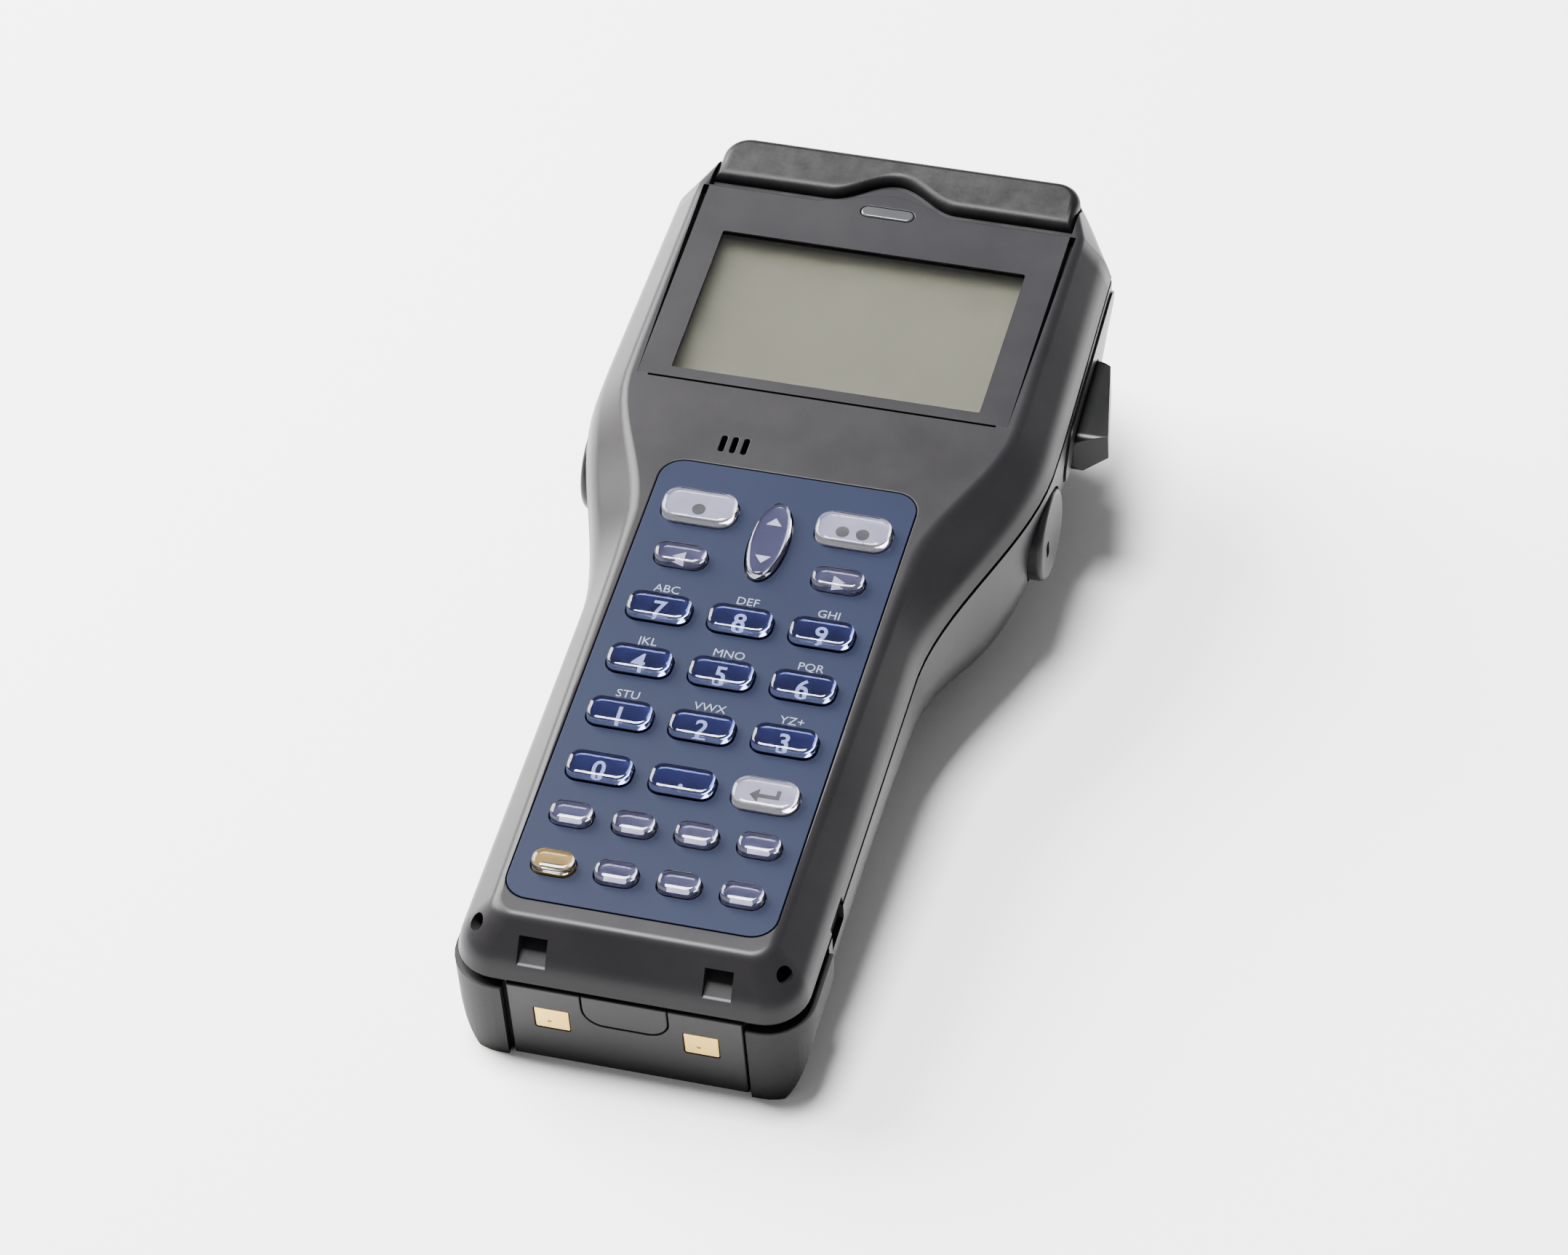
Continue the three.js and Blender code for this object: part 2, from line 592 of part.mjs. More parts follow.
const mainTop = rearTop - 2.6;
const headSkin = halfWidth(partingLevel, sidePanel.low);
const mainHalf = headSkin - 9.8;
const switchRoom = box(mainHalf - 5, 60, triggerLow - 4, triggerHigh + 4, -30, 0);
const board = { low: 34, high: 86, thickness: 1.4 };
const can = { half: 13, low: 48, high: 70, under: mainTop - 5.2 };
const engine = { half: 11, low: 66, high: 80, under: -35, top: -21 };
const buzzerRadius = 5;
add('main_board', box(-mainHalf, mainHalf, board.low, board.high, mainTop - board.thickness, mainTop)
  .subtract(switchRoom).subtract(mirrored(switchRoom, -1)), boardGreen);
add('shield_can', box(-can.half, can.half, can.low, can.high, can.under, mainTop - board.thickness - gap),
  tinnedSteel);
add('scan_engine', box(-engine.half, engine.half, engine.low, engine.high, engine.under, engine.top),
  packGrey);
add('scan_window', windowSlab(0, -1.5, 0), scanRed);
add('buzzer', pillar(slitCentre.x, slitCentre.y, buzzerRadius, -6.4, faceUnder - gap, 16), triggerBlack);

// ---------------------------------------------------------------- triggers, side panels, strap anchors

const triggerTop = triggerZ + triggerHeight / 2;
const triggerUnder = triggerZ - triggerHeight / 2;
const stopFace = headSkin - 4.2; // outer face of the rim that keeps a trigger in

// From above the trigger stands out most at its lower end; seen from that end its underside slants.
function triggerBody(proud) {
  const inner = stopFace - 0.5;
  const outer = headSkin + proud;
  const plan = polygon([
    [inner, triggerLow], [headSkin, triggerLow], [outer, triggerLow + 1.5],
    [headSkin + proud * 0.42, triggerHigh - 1.6], [headSkin - 0.6, triggerHigh], [inner, triggerHigh]]);
  const end = polygon([
    [inner, triggerUnder], [headSkin + proud * 0.1, triggerUnder], [outer, triggerUnder + 2.9],
    [outer, triggerTop], [inner, triggerTop]]);
  return slab(plan, triggerUnder, triggerTop)
    .intersect(endSlab(end, 0, 100))
    .intersect(sideSlab(triggerShape(0), 0, 60))
    .add(box(stopFace - 1, stopFace, triggerLow - 1, triggerHigh + 1, triggerUnder - 0.6, triggerTop + 0.4));
}

const switchFace = stopFace - 1 - triggerTravel - gap;
const panelLayer = skinLayer(panelProud)
  .intersect(sideSlab(sidePanelShape(0), 20, 60))
  .subtract(sideSlab(triggerShape(gap), 0, 60));
const anchorBody = anchorDrum(anchor.radius, anchor.outer).subtract(rearBody(coverDepth, rearTop + 2));
const guardLayer = skinLayer(guardProud).intersect(cornerZone(0)).subtract(table());
for (const [label, side] of sides) {
  add(`trigger_${label}`, mirrored(triggerBody(triggerProud[label]), side), triggerBlack);
  add(`trigger_switch_${label}`,
    mirrored(box(switchFace - 3, switchFace, 62, 68, triggerZ - 2.5, triggerZ + 2.5), side), tinnedSteel);
  add(`side_panel_${label}`, mirrored(panelLayer, side), casePlastic);
  add(`strap_anchor_${label}`, mirrored(anchorBody, side), casePlastic);
  add(`corner_guard_${label}`, mirrored(guardLayer, side), rubberBlack);
}

// ---------------------------------------------------------------- battery pack

const packBottom = -gripDepth;
const latch = { half: 6.1, low: -14.5, high: partingZ - 0.7 };
const stem = { half: 3.2, low: latch.low + 0.4, high: bayRoof - 2 * gap };
const contact = { x: 10.7, z: -15, width: 5, height: 4.2 };

const latchShape = (spare) => {
  const radius = 3 - spare;
  const shape = new THREE.Shape();
  shape.moveTo(-latch.half - spare, latch.high + spare);
  shape.lineTo(-latch.half - spare, latch.low - spare + radius);
  const bend = latch.half + spare - radius;
  const level = latch.low - spare + radius;
  shape.absarc(-bend, level, radius, Math.PI, Math.PI * 1.5, false);
  shape.absarc(bend, level, radius, Math.PI * 1.5, Math.PI * 2, false);
  shape.lineTo(latch.half + spare, latch.high + spare);
  return shape;
};
function packCase() {
  const inner = packHalfWidth - 1.4;
  const roof = bayRoof - gap;
  let body = box(-packHalfWidth, packHalfWidth, packEnd, packHigh, packBottom, roof)
    .add(box(-packHalfWidth, packHalfWidth, gripLow, packEnd + 0.1, packBottom, partingZ - 0.7))
    .subtract(box(-inner, inner, packEnd + 1.4, packHigh - 1.4, packBottom + 1.6, 0))
    .subtract(endSlab(latchShape(gap), gripLow - 5, packEnd + 0.4))
    .subtract(box(-stem.half - gap, stem.half + gap, packEnd, packEnd + 3, stem.low - gap, stem.high + gap));
  for (const [, side] of sides) {
    const x = side * contact.x;
    const groove = box(packHalfWidth - railReach, 30, packEnd, 20, rail.low - gap, rail.high + gap);
    body = body.subtract(mirrored(groove, side)).subtract(box(
      x - contact.width / 2 - gap, x + contact.width / 2 + gap, gripLow - 5, gripLow + 1,
      contact.z - contact.height / 2 - gap, contact.z + contact.height / 2 + gap));
  }
  return body.subtract(table());
}
add('battery_case', packCase(), endPlastic);
const cellHalf = packHalfWidth - 2.5;
add('battery_cell', box(-cellHalf, cellHalf, packEnd + 4.4, packHigh - 2.4, packBottom + 2.2, bayRoof - 1.2),
  packGrey);
add('battery_latch', endSlab(latchShape(0), gripLow, gripLow + 1.2)
  .add(box(-stem.half, stem.half, gripLow + 1, packEnd + 2.6, stem.low, stem.high)), endPlastic);
for (const [label, side] of sides) {
  const x = side * contact.x;
  add(`charge_contact_${label}`, box(
    x - contact.width / 2, x + contact.width / 2, gripLow + 0.05, gripLow + 0.7,
    contact.z - contact.height / 2, contact.z + contact.height / 2), contactGold);
}

// ---------------------------------------------------------------- screws

screwRows.forEach((y, row) => {
  sides.forEach(([, side], column) => {
    const headTop = screwSeat - gap;
    const headUnder = headTop - screwHeadThickness;
    const slot = box(side * screwX - 2, side * screwX + 2, y - 0.3, y + 0.3, headUnder - 1, headUnder + 0.9);
    const head = pillar(side * screwX, y, screwHead, headUnder, headTop).subtract(slot);
    const shaft = pillar(side * screwX, y, screwShaft, headTop - 0.2, faceUnder - 2, 8);
    add(`case_screw_${row * 2 + column + 1}`, head.add(shaft), screwSteel);
  });
});

// ---------------------------------------------------------------- as it lies on a table

terminal.rotation.x = restTilt;
terminal.updateMatrixWorld(true);
const extent = new THREE.Box3().setFromObject(terminal, true);
terminal.position.set(
  -(extent.min.x + extent.max.x) / 2, -(extent.min.y + extent.max.y) / 2, -extent.min.z);
terminal.updateMatrixWorld(true);

export default terminal;
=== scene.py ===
import json
import math

import bmesh
import bpy
from mathutils import Matrix, Vector


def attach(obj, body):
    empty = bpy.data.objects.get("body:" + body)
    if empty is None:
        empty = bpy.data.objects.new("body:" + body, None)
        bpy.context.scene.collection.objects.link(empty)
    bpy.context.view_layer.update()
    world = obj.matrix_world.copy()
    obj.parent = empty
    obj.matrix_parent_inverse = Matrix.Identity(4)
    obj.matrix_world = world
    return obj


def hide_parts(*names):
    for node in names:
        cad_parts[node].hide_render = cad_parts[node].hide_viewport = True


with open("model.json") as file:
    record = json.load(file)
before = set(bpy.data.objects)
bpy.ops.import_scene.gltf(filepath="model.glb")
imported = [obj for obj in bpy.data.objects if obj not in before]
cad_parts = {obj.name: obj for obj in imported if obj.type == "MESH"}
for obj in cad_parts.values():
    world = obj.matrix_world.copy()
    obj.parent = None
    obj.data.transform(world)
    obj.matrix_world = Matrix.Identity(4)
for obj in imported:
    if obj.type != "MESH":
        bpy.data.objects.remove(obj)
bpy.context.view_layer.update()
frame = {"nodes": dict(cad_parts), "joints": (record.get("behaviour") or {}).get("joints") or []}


# ---------------------------------------------------------------------------------------------
# Camera, table top and lamps. The terminal lies on its back and leans on its scanner head, so its
# own frame (millimetres, zero on the key face at key 8, y to the head, z out of the face) is turned
# by the lean of the key stroke and placed by the pivot of the rocker key.
# ---------------------------------------------------------------------------------------------
joints = {joint["name"]: joint for joint in frame["joints"]}
stroke = joints["key_8_press"]["axis"]
LEAN = math.atan2(stroke[1], -stroke[2])
ROCKER_PIVOT = Vector((0, 15.5, -1.5))
DEVICE = (Matrix.Translation(joints["rocker_key_tilt"]["pos_m"]) @ Matrix.Rotation(LEAN, 4, "X")
          @ Matrix.Scale(0.001, 4) @ Matrix.Translation(-ROCKER_PIVOT))
TURN = Matrix.Rotation(LEAN, 3, "X")

camera_place = Vector((183.8, -519.5, 617.6))
camera_right = Vector((0.9642, 0.2586, -0.0594))
camera_down = Vector((0.1558, -0.7331, -0.6620))
lens = bpy.data.cameras.new("camera")
lens.sensor_width = 36
lens.lens = 133.6
camera = bpy.data.objects.new("camera", lens)
to_right = (TURN @ camera_right).normalized()
to_top = TURN @ -camera_down
to_top = (to_top - to_right * to_top.dot(to_right)).normalized()
camera.matrix_world = Matrix.Translation(DEVICE @ camera_place) @ Matrix(
    (to_right, to_top, to_right.cross(to_top))).transposed().to_4x4()
bpy.context.scene.collection.objects.link(camera)
bpy.context.scene.camera = camera

table_grid = bmesh.new()
bmesh.ops.create_grid(table_grid, x_segments=8, y_segments=8, size=1.6)
table_mesh = bpy.data.meshes.new("table_top")
table_grid.to_mesh(table_mesh)
table_grid.free()
table_top = bpy.data.objects.new("table_top", table_mesh)
bpy.context.scene.collection.objects.link(table_top)
table_paint = bpy.data.materials.new("table_paint")
table_paint.use_nodes = True
table_shader = table_paint.node_tree.nodes["Principled BSDF"]
table_shader.inputs["Base Color"].default_value = (0.94, 0.93, 0.925, 1)
table_shader.inputs["Roughness"].default_value = 0.75
table_mesh.materials.append(table_paint)


def softbox(name, place, size, watts, tint):
    """A rectangular lamp that looks at the terminal."""
    light = bpy.data.lights.new(name, "AREA")
    light.shape = "RECTANGLE"
    light.size, light.size_y = size
    light.energy = watts
    light.color = tint
    lamp = bpy.data.objects.new(name, light)
    aim = (Vector((0, 0, 0.02)) - Vector(place)).to_track_quat("-Z", "Y")
    lamp.matrix_world = Matrix.Translation(place) @ aim.to_matrix().to_4x4()
    bpy.context.scene.collection.objects.link(lamp)


softbox("window_light", (-0.95, 0.4, 0.8), (1.0, 0.9), 88, (1.0, 0.985, 0.965))
softbox("ceiling_light", (-0.2, 0.05, 1.25), (0.4, 0.4), 46, (0.98, 0.985, 1.0))
room = bpy.data.worlds.new("room")
room.use_nodes = True
room.node_tree.nodes["Background"].inputs["Color"].default_value = (0.98, 0.98, 1.0, 1)
room.node_tree.nodes["Background"].inputs["Strength"].default_value = 0.34
bpy.context.scene.world = room


# ---------------------------------------------------------------------------------------------
# Rear case. A thick grey ABS moulding with a fine spark-eroded texture: the back of the grip and
# the deep scanner head in one piece, with a bay for the battery pack and recesses for side panels,
# triggers, strap anchors and corner guards. Four screws hold it to the front case.
# ---------------------------------------------------------------------------------------------
GAP = 0.3
WALL = 2.2
END = -63.2
HEAD = 94.0
REAR_TOP = -8.6
PACK_HALF = 16.9
BAY_HALF = PACK_HALF + GAP
BAY_HIGH = 2.3
BAY_ROOF = -12.3
BAY_MOUTH = END + 2.4
RAIL = dict(reach=0.6, low=-16.6, high=-15.0)
COVER_DEPTH = 1.2
SIDE_PANEL = dict(low=51.5, high=88, under=-20.2, over=-9.9, proud=0.35)
TRIGGER = dict(low=56.5, high=74, z=-16.75, half=3.75)
SCREW_X = PACK_HALF + 4
SCREW_ROWS = (END + 25.2, BAY_HIGH + 1.7)
CRADLE_NOTCH = dict(x=24.1, low=END + 17.2, high=END + 23.2, over=-6.8, under=-11.6)
GUARD_HIGH = END + 15.2
SCREW_HOLE = dict(radius=2.6, floor=-17.0)
BACK = dict(grip=24.5, swell=16.7, full=62, head=41.2, nose=80, climb=1.45)
# How far the lower corners are drawn in, across and down: at the lower end, on the grip, on the head.
CORNER = dict(end=(6.5, 15.5), grip=(6, 10), head=(16, 31))
# Cutters stop at OUTSIDE, well clear of the case; those for its sides start at FLANK.
OUTSIDE = 60
FLANK = 20


def rise(value, low, high):
    """0 below low, 1 above high, with a smooth step between."""
    t = min(max((value - low) / (high - low), 0), 1)
    return t * t * (3 - 2 * t)


def mix(a, b, t):
    return a + (b - a) * t


# A slice across the housing: half width at key 8, how far and where it steps out to the head, both
# ends, the corners of the lower end and the slanted shoulders of the head.
FACE = dict(half=20.9, taper=0.018, step=8.0, start=17, stop=45, low=END + 5.3, high=HEAD, corner=3.4,
            shoulder=(2.8, 8))
WAIST = dict(half=24.6, taper=0, step=9.6, start=2, stop=46, low=END + 1.1, high=HEAD, corner=5.6,
             shoulder=(4.6, 8))
SEAM = dict(half=25.1, taper=0, step=10.0, start=1, stop=45, low=END, high=HEAD, corner=6.2,
            shoulder=(4.6, 8.4))


def half_width(level, y):
    opened = level["half"] + level["taper"] * y + level["step"] * rise(y, level["start"], level["stop"])
    return opened - 0.02 * max(0, y - 50)


def outline(level, inset=0.0, steps=48, arc=9):
    """Up the right side from the lower end to the head, then down the left side."""
    low, high = level["low"] + inset, level["high"] - inset
    radius = max(level["corner"] - inset, 0.8)
    edge = half_width(level, low + radius) - inset
    turns = [i / arc * math.pi / 2 for i in range(arc + 1)]
    side = [(edge - radius + radius * math.sin(a), low + radius - radius * math.cos(a)) for a in turns]
    bend = high - level["shoulder"][1]
    side += [(half_width(level, y) - inset, y)
             for y in (mix(low + radius, bend, i / steps) for i in range(1, steps + 1))]
    top = half_width(level, bend) - inset
    side.append((top - level["shoulder"][0], high))
    return side + [(-x, y) for x, y in reversed(side)]


def back_depth(y):
    """From the key face to the back, which climbs again under the nose of the scanner."""
    swell = BACK["grip"] + BACK["swell"] * rise(y, 0, BACK["full"])
    return min(swell, BACK["head"] - (y - BACK["nose"]) * BACK["climb"])


def table_z(y):
    return -DEVICE.translation.z * 1000 / math.cos(LEAN) - y * math.tan(LEAN)


def new_piece(verts, faces):
    mesh = bpy.data.meshes.new("piece")
    mesh.from_pydata([tuple(v) for v in verts], [], faces)
    build = bmesh.new()
    build.from_mesh(mesh)
    bmesh.ops.recalc_face_normals(build, faces=build.faces)
    build.to_mesh(mesh)
    build.free()
    made = bpy.data.objects.new("piece", mesh)
    bpy.context.scene.collection.objects.link(made)
    return made


def loft(rings):
    """A closed skin over rings that all have the same number of points."""
    count = len(rings[0])
    faces = []
    for start in range(0, (len(rings) - 1) * count, count):
        for i in range(count):
            j = (i + 1) % count
            faces.append((start + i, start + j, start + count + j, start + count + i))
    faces.append(tuple(range(count)))
    faces.append(tuple(range((len(rings) - 1) * count, len(rings) * count)))
    return new_piece([point for ring in rings for point in ring], faces)


FLAT = {"z": lambda u, v, w: (u, v, w), "x": lambda u, v, w: (w, u, v), "y": lambda u, v, w: (u, w, v)}


def stack(shape, levels, along="z"):
    """An outline drawn along one axis: shape(spare) gives the outline, levels are (height, spare)."""
    return loft([[FLAT[along](u, v, w) for u, v in shape(spare)] for w, spare in levels])


def prism(shape, low, high, along="z", spare=0.0):
    return stack(shape, [(low, spare), (high, spare)], along)


def plate(shape, low, high, lip, along="z", parts=3):
    """A plate whose edge at high is rounded off by lip."""
    turns = [k / parts * math.pi / 2 for k in range(parts + 1)]
    soft = lip if high > low else -lip
    rim = [(high - soft + soft * math.sin(a), lip * (math.cos(a) - 1)) for a in turns]
    return stack(shape, [(low, 0)] + rim, along)


def pocket(shape, low, high, lip, spare=0.0, along="z", parts=3):
    """A cutter for a hole or recess from low up to a surface at high, with a rounded mouth."""
    turns = [k / parts * math.pi / 2 for k in range(parts + 1)]
    soft = lip if high > low else -lip
    mouth = [(high - soft + soft * math.sin(a), spare + lip * (1 - math.cos(a))) for a in turns]
    return stack(shape, [(low, spare)] + mouth + [(high + soft * 4, spare + lip)], along)


def rounded(u0, u1, v0, v1, radius, arc=7):
    """A rounded rectangle that grows by its argument."""
    def shape(spare=0.0):
        r = max(radius + spare, 0.05)
        corners = ((u1 + spare - r, v0 - spare + r, -90), (u1 + spare - r, v1 + spare - r, 0),
                   (u0 - spare + r, v1 + spare - r, 90), (u0 - spare + r, v0 - spare + r, 180))
        return [(u + r * math.cos(math.radians(start + 90 * i / arc)),
                 v + r * math.sin(math.radians(start + 90 * i / arc)))
                for u, v, start in corners for i in range(arc + 1)]
    return shape


def block(x0, x1, y0, y1, z0, z1):
    return prism(lambda spare: [(x0, y0), (x1, y0), (x1, y1), (x0, y1)], z0, z1)


def drum(radius, low, high, sides=40):
    turns = [i / sides * 2 * math.pi for i in range(sides)]
    return prism(lambda spare: [(radius * math.cos(a), radius * math.sin(a)) for a in turns], low, high)


def moved(made, *steps):
    for step in steps:
        made.data.transform(step)
    return made


def handed(made, side):
    """The piece itself on the right, its mirror image on the left."""
    if side < 0:
        made.data.transform(Matrix.Scale(-1, 4, (1, 0, 0)))
        made.data.flip_normals()
    return made


def combine(made, tools, how="DIFFERENCE"):
    for tool in tools:
        step = made.modifiers.new("cut", "BOOLEAN")
        step.operation = how
        step.solver = "EXACT"
        step.object = tool
        graph = bpy.context.evaluated_depsgraph_get()
        mesh = bpy.data.meshes.new_from_object(made.evaluated_get(graph))
        made.modifiers.clear()
        made.data = mesh
        bpy.data.objects.remove(tool)
    return made


def table_block():
    """What lies under the table top."""
    reach = 130
    under = [(-reach, -90), (reach, -90), (reach, table_z(reach)), (-reach, table_z(-reach))]
    return prism(lambda spare: under, -OUTSIDE, OUTSIDE, "x")


def fit(made, name, body, slot, paint, *nodes, smooth=32):
    """Names a finished piece, sets it in place and hands it to its body."""
    build = bmesh.new()
    build.from_mesh(made.data)
    bmesh.ops.remove_doubles(build, verts=build.verts, dist=0.003)
    bmesh.ops.dissolve_degenerate(build, edges=build.edges, dist=0.002)
    build.to_mesh(made.data)
    build.free()
    made.name = name
    made.data.name = name
    made.data.transform(DEVICE)
    made.data.materials.clear()
    made.data.materials.append(paint)
    for face in made.data.polygons:
        face.use_smooth = True
        face.material_index = 0
    made.data.set_sharp_from_angle(angle=math.radians(smooth))
    even = made.modifiers.new("even_normals", "WEIGHTED_NORMAL")
    even.keep_sharp = True
    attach(made, body)
    if nodes:
        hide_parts(*nodes)
    return made


def moulded(name, colour, tone, rough, grain, height, patch=14.0, spread=0.06,
             metal=0.0, coat=0.0, specular=0.5):
    """A moulded surface. colour and tone are its two shades, patch the size of their mottling and grain
    that of the surface texture, both in millimetres; height is how deep the texture is."""
    paint = bpy.data.materials.new(name)
    paint.use_nodes = True
    tree = paint.node_tree
    shader = tree.nodes["Principled BSDF"]
    shader.inputs["Metallic"].default_value = metal
    shader.inputs["Coat Weight"].default_value = coat
    shader.inputs["Specular IOR Level"].default_value = specular
    shader.inputs["Coat Roughness"].default_value = 0.1
    where = tree.nodes.new("ShaderNodeTexCoord")
    fine = tree.nodes.new("ShaderNodeTexNoise")
    fine.inputs["Scale"].default_value = 1000 / grain
    fine.inputs["Detail"].default_value = 3
    tree.links.new(where.outputs["Object"], fine.inputs["Vector"])
    texture = tree.nodes.new("ShaderNodeBump")
    texture.inputs["Strength"].default_value = 0.6
    texture.inputs["Distance"].default_value = height / 1000
    tree.links.new(fine.outputs["Fac"], texture.inputs["Height"])
    tree.links.new(texture.outputs["Normal"], shader.inputs["Normal"])
    broad = tree.nodes.new("ShaderNodeTexNoise")
    broad.inputs["Scale"].default_value = 1000 / patch
    broad.inputs["Detail"].default_value = 5
    broad.inputs["Roughness"].default_value = 0.62
    tree.links.new(where.outputs["Object"], broad.inputs["Vector"])
    shades = tree.nodes.new("ShaderNodeValToRGB")
    shades.color_ramp.elements[0].position = 0.36
    shades.color_ramp.elements[0].color = (*colour, 1)
    shades.color_ramp.elements[1].position = 0.7
    shades.color_ramp.elements[1].color = (*tone, 1)
    tree.links.new(broad.outputs["Fac"], shades.inputs["Fac"])
    tree.links.new(shades.outputs["Color"], shader.inputs["Base Color"])
    gloss = tree.nodes.new("ShaderNodeMapRange")
    gloss.inputs["To Min"].default_value = rough - spread
    gloss.inputs["To Max"].default_value = rough + spread
    tree.links.new(broad.outputs["Fac"], gloss.inputs["Value"])
    tree.links.new(gloss.outputs["Result"], shader.inputs["Roughness"])
    return paint


case_plastic = moulded("case_plastic", (0.0115, 0.0108, 0.0122), (0.0142, 0.0133, 0.0147),
                       0.34, 0.4, 0.008, specular=0.2)


def rear_body(inset, top, low=None):
    """Sections across the housing under the parting line, trimmed to the plan outline of the seam."""
    start = END + inset if low is None else low
    stations = [start] + [y for y in (-55, -40, -20, -12, -5, 0) if y > start + 1]
    stations += [4 + 2.5 * i for i in range(31)] + [82, 85, 88, 91, HEAD - inset]
    rings = []
    for y in stations:
        half = half_width(SEAM, y) - inset
        bottom = -back_depth(y) + inset
        grip, head = rise(y, -20, 15), rise(y, 20, 50)
        across, down = [mix(mix(a, b, grip), c, head) for a, b, c in zip(*CORNER.values())]
        down = min(down, (top - bottom) * 0.97)
        turns = [i / 14 * math.pi / 2 for i in range(15)]
        side = [(half, top)] + [(half - across + across * math.cos(a), bottom + down - down * math.sin(a))
                                for a in turns]
        rings.append([(x, y, z) for x, z in side] + [(-x, y, z) for x, z in reversed(side)])
    plan = prism(lambda spare: outline(SEAM, inset), -OUTSIDE, top)
    return combine(loft(rings), [plan], "INTERSECT")


def corner_zone(spare):
    """Where a corner guard wraps the right lower corner."""
    return block(BAY_HALF + GAP - spare, OUTSIDE, END - 10, GUARD_HIGH + spare, -25.5, 0)


def side_panel_shape(spare):
    half = (SIDE_PANEL["over"] - SIDE_PANEL["under"]) / 2
    low, high, under, over = (SIDE_PANEL[key] for key in ("low", "high", "under", "over"))
    return rounded(low, high, under, over, half - 0.01, 12)(spare)


trigger_shape = rounded(TRIGGER["low"], TRIGGER["high"], TRIGGER["z"] - TRIGGER["half"],
                        TRIGGER["z"] + TRIGGER["half"], 1.6)
head_skin = half_width(SEAM, SIDE_PANEL["low"])
window_shape = rounded(-15.5, 15.5, -9, 9, 2.4)
NOSE_MIDDLE = 86.6
nose_out = Vector((0, BACK["climb"], -1)).normalized()
sideways = Vector((1, 0, 0))
WINDOW_POSE = Matrix.Translation((0, NOSE_MIDDLE, -back_depth(NOSE_MIDDLE))) @ Matrix(
    (sideways, nose_out.cross(sideways), nose_out)).transposed().to_4x4()
ANCHOR = dict(y=41, z=-17.4, radius=7, outer=SEAM["half"] + SEAM["step"] + 0.4)


def ring_of(radius, sides=20):
    turns = [i / sides * 2 * math.pi for i in range(sides)]
    return [(radius * math.cos(a), radius * math.sin(a)) for a in turns]


def anchor_drum(levels):
    """The round strap boss, about an axis across the housing; levels are (x, change of radius)."""
    made = stack(lambda spare: ring_of(ANCHOR["radius"] + spare, 56), levels)
    place = Matrix.Translation((0, ANCHOR["y"], ANCHOR["z"]))
    return moved(made, place @ Matrix.Rotation(math.pi / 2, 4, "Y"))


rear = rear_body(0, REAR_TOP)
shallow = combine(prism(lambda spare: outline(SEAM, WALL), BAY_ROOF + 1.3, REAR_TOP + 1),
                  [block(-OUTSIDE, OUTSIDE, END + 4.4, BAY_HIGH + 2.9, -20, 0)], "INTERSECT")
cuts = [rear_body(WALL, REAR_TOP + 1, BAY_HIGH + 1.9), shallow,
        block(-BAY_HALF, BAY_HALF, END - 10, BAY_HIGH, -OUTSIDE, BAY_ROOF),
        block(-BAY_HALF, BAY_HALF, END - 10, BAY_MOUTH, -OUTSIDE, 0),
        moved(pocket(window_shape, -1.8, 0, 0.25, GAP * 0.6), WINDOW_POSE),
        moved(prism(window_shape, -12, 2, spare=-1.6), WINDOW_POSE)]
for side in (-1, 1):
    recesses = [prism(side_panel_shape, FLANK, OUTSIDE, "x", GAP * 0.6),
                anchor_drum([(FLANK, GAP), (OUTSIDE, GAP)]), corner_zone(GAP)]
    for recess in recesses:
        cuts.append(handed(combine(recess, [rear_body(COVER_DEPTH + GAP, REAR_TOP + 2)]), side))
    cuts += [handed(prism(trigger_shape, FLANK, OUTSIDE, "x", GAP), side),
             handed(block(CRADLE_NOTCH["x"], OUTSIDE, CRADLE_NOTCH["low"], CRADLE_NOTCH["high"],
                          CRADLE_NOTCH["under"], 0), side)]
    for row in SCREW_ROWS:
        hole = drum(SCREW_HOLE["radius"], -OUTSIDE, SCREW_HOLE["floor"])
        cuts.append(moved(hole, Matrix.Translation((side * SCREW_X, row, 0))))
combine(rear, cuts)
for side in (-1, 1):
    rail = block(BAY_HALF - RAIL["reach"], BAY_HALF + 0.1, END + 5, BAY_HIGH + 0.2,
                 RAIL["low"], RAIL["high"])
    combine(rear, [handed(rail, side)], "UNION")
combine(rear, [table_block()])
fit(rear, "rear_case_shell", "handset", "case_plastic", case_plastic, "rear_case")


# ---------------------------------------------------------------------------------------------
# Front case. The same grey ABS: a flat key face with chamfered flanks, rounded where the face
# turns into them. It has recesses for keypad, display bezel and bumper, three sound slits, two
# hook sockets for the charging cradle and two holes for a wrist strap.
# ---------------------------------------------------------------------------------------------
PARTING = -8.0
KEYPAD = dict(half=19.3, low=-54.6, high=29.0, radius=3.6, thick=1.2)
BEZEL = dict(half=28.2, low=45.0, high=85.2, thick=1.5)
SCREEN = dict(half=23.5, low=47.0, high=76.1)
BUMPER = dict(half=28.0, edge=86.3, notch=4.4, high=HEAD + 2.6, proud=0.5, thick=1.5, under=-12.0,
              corner=4.0, soft=1.7)
RECESS_FLOOR = -1.8
THROUGH = -12
SLIT = dict(x=-10.1, pitch=1.7, half=0.42, low=31.8, high=35.0)
HOOK = dict(x=13.2, half=2.05)
STRAP_HOLE = dict(x=21.6, y=END + 5.6, z=-3.1, radius=1.25, long=4.5)


def crest(x, reach):
    """A smooth hump across the middle of the head."""
    return math.cos(x / reach * math.pi / 2) ** 2 if abs(x) < reach else 0


def wave(y, height, reach, steps=24):
    places = [mix(-reach, reach, i / steps) for i in range(steps + 1)]
    return [(x, y + height * crest(x, reach)) for x in places]


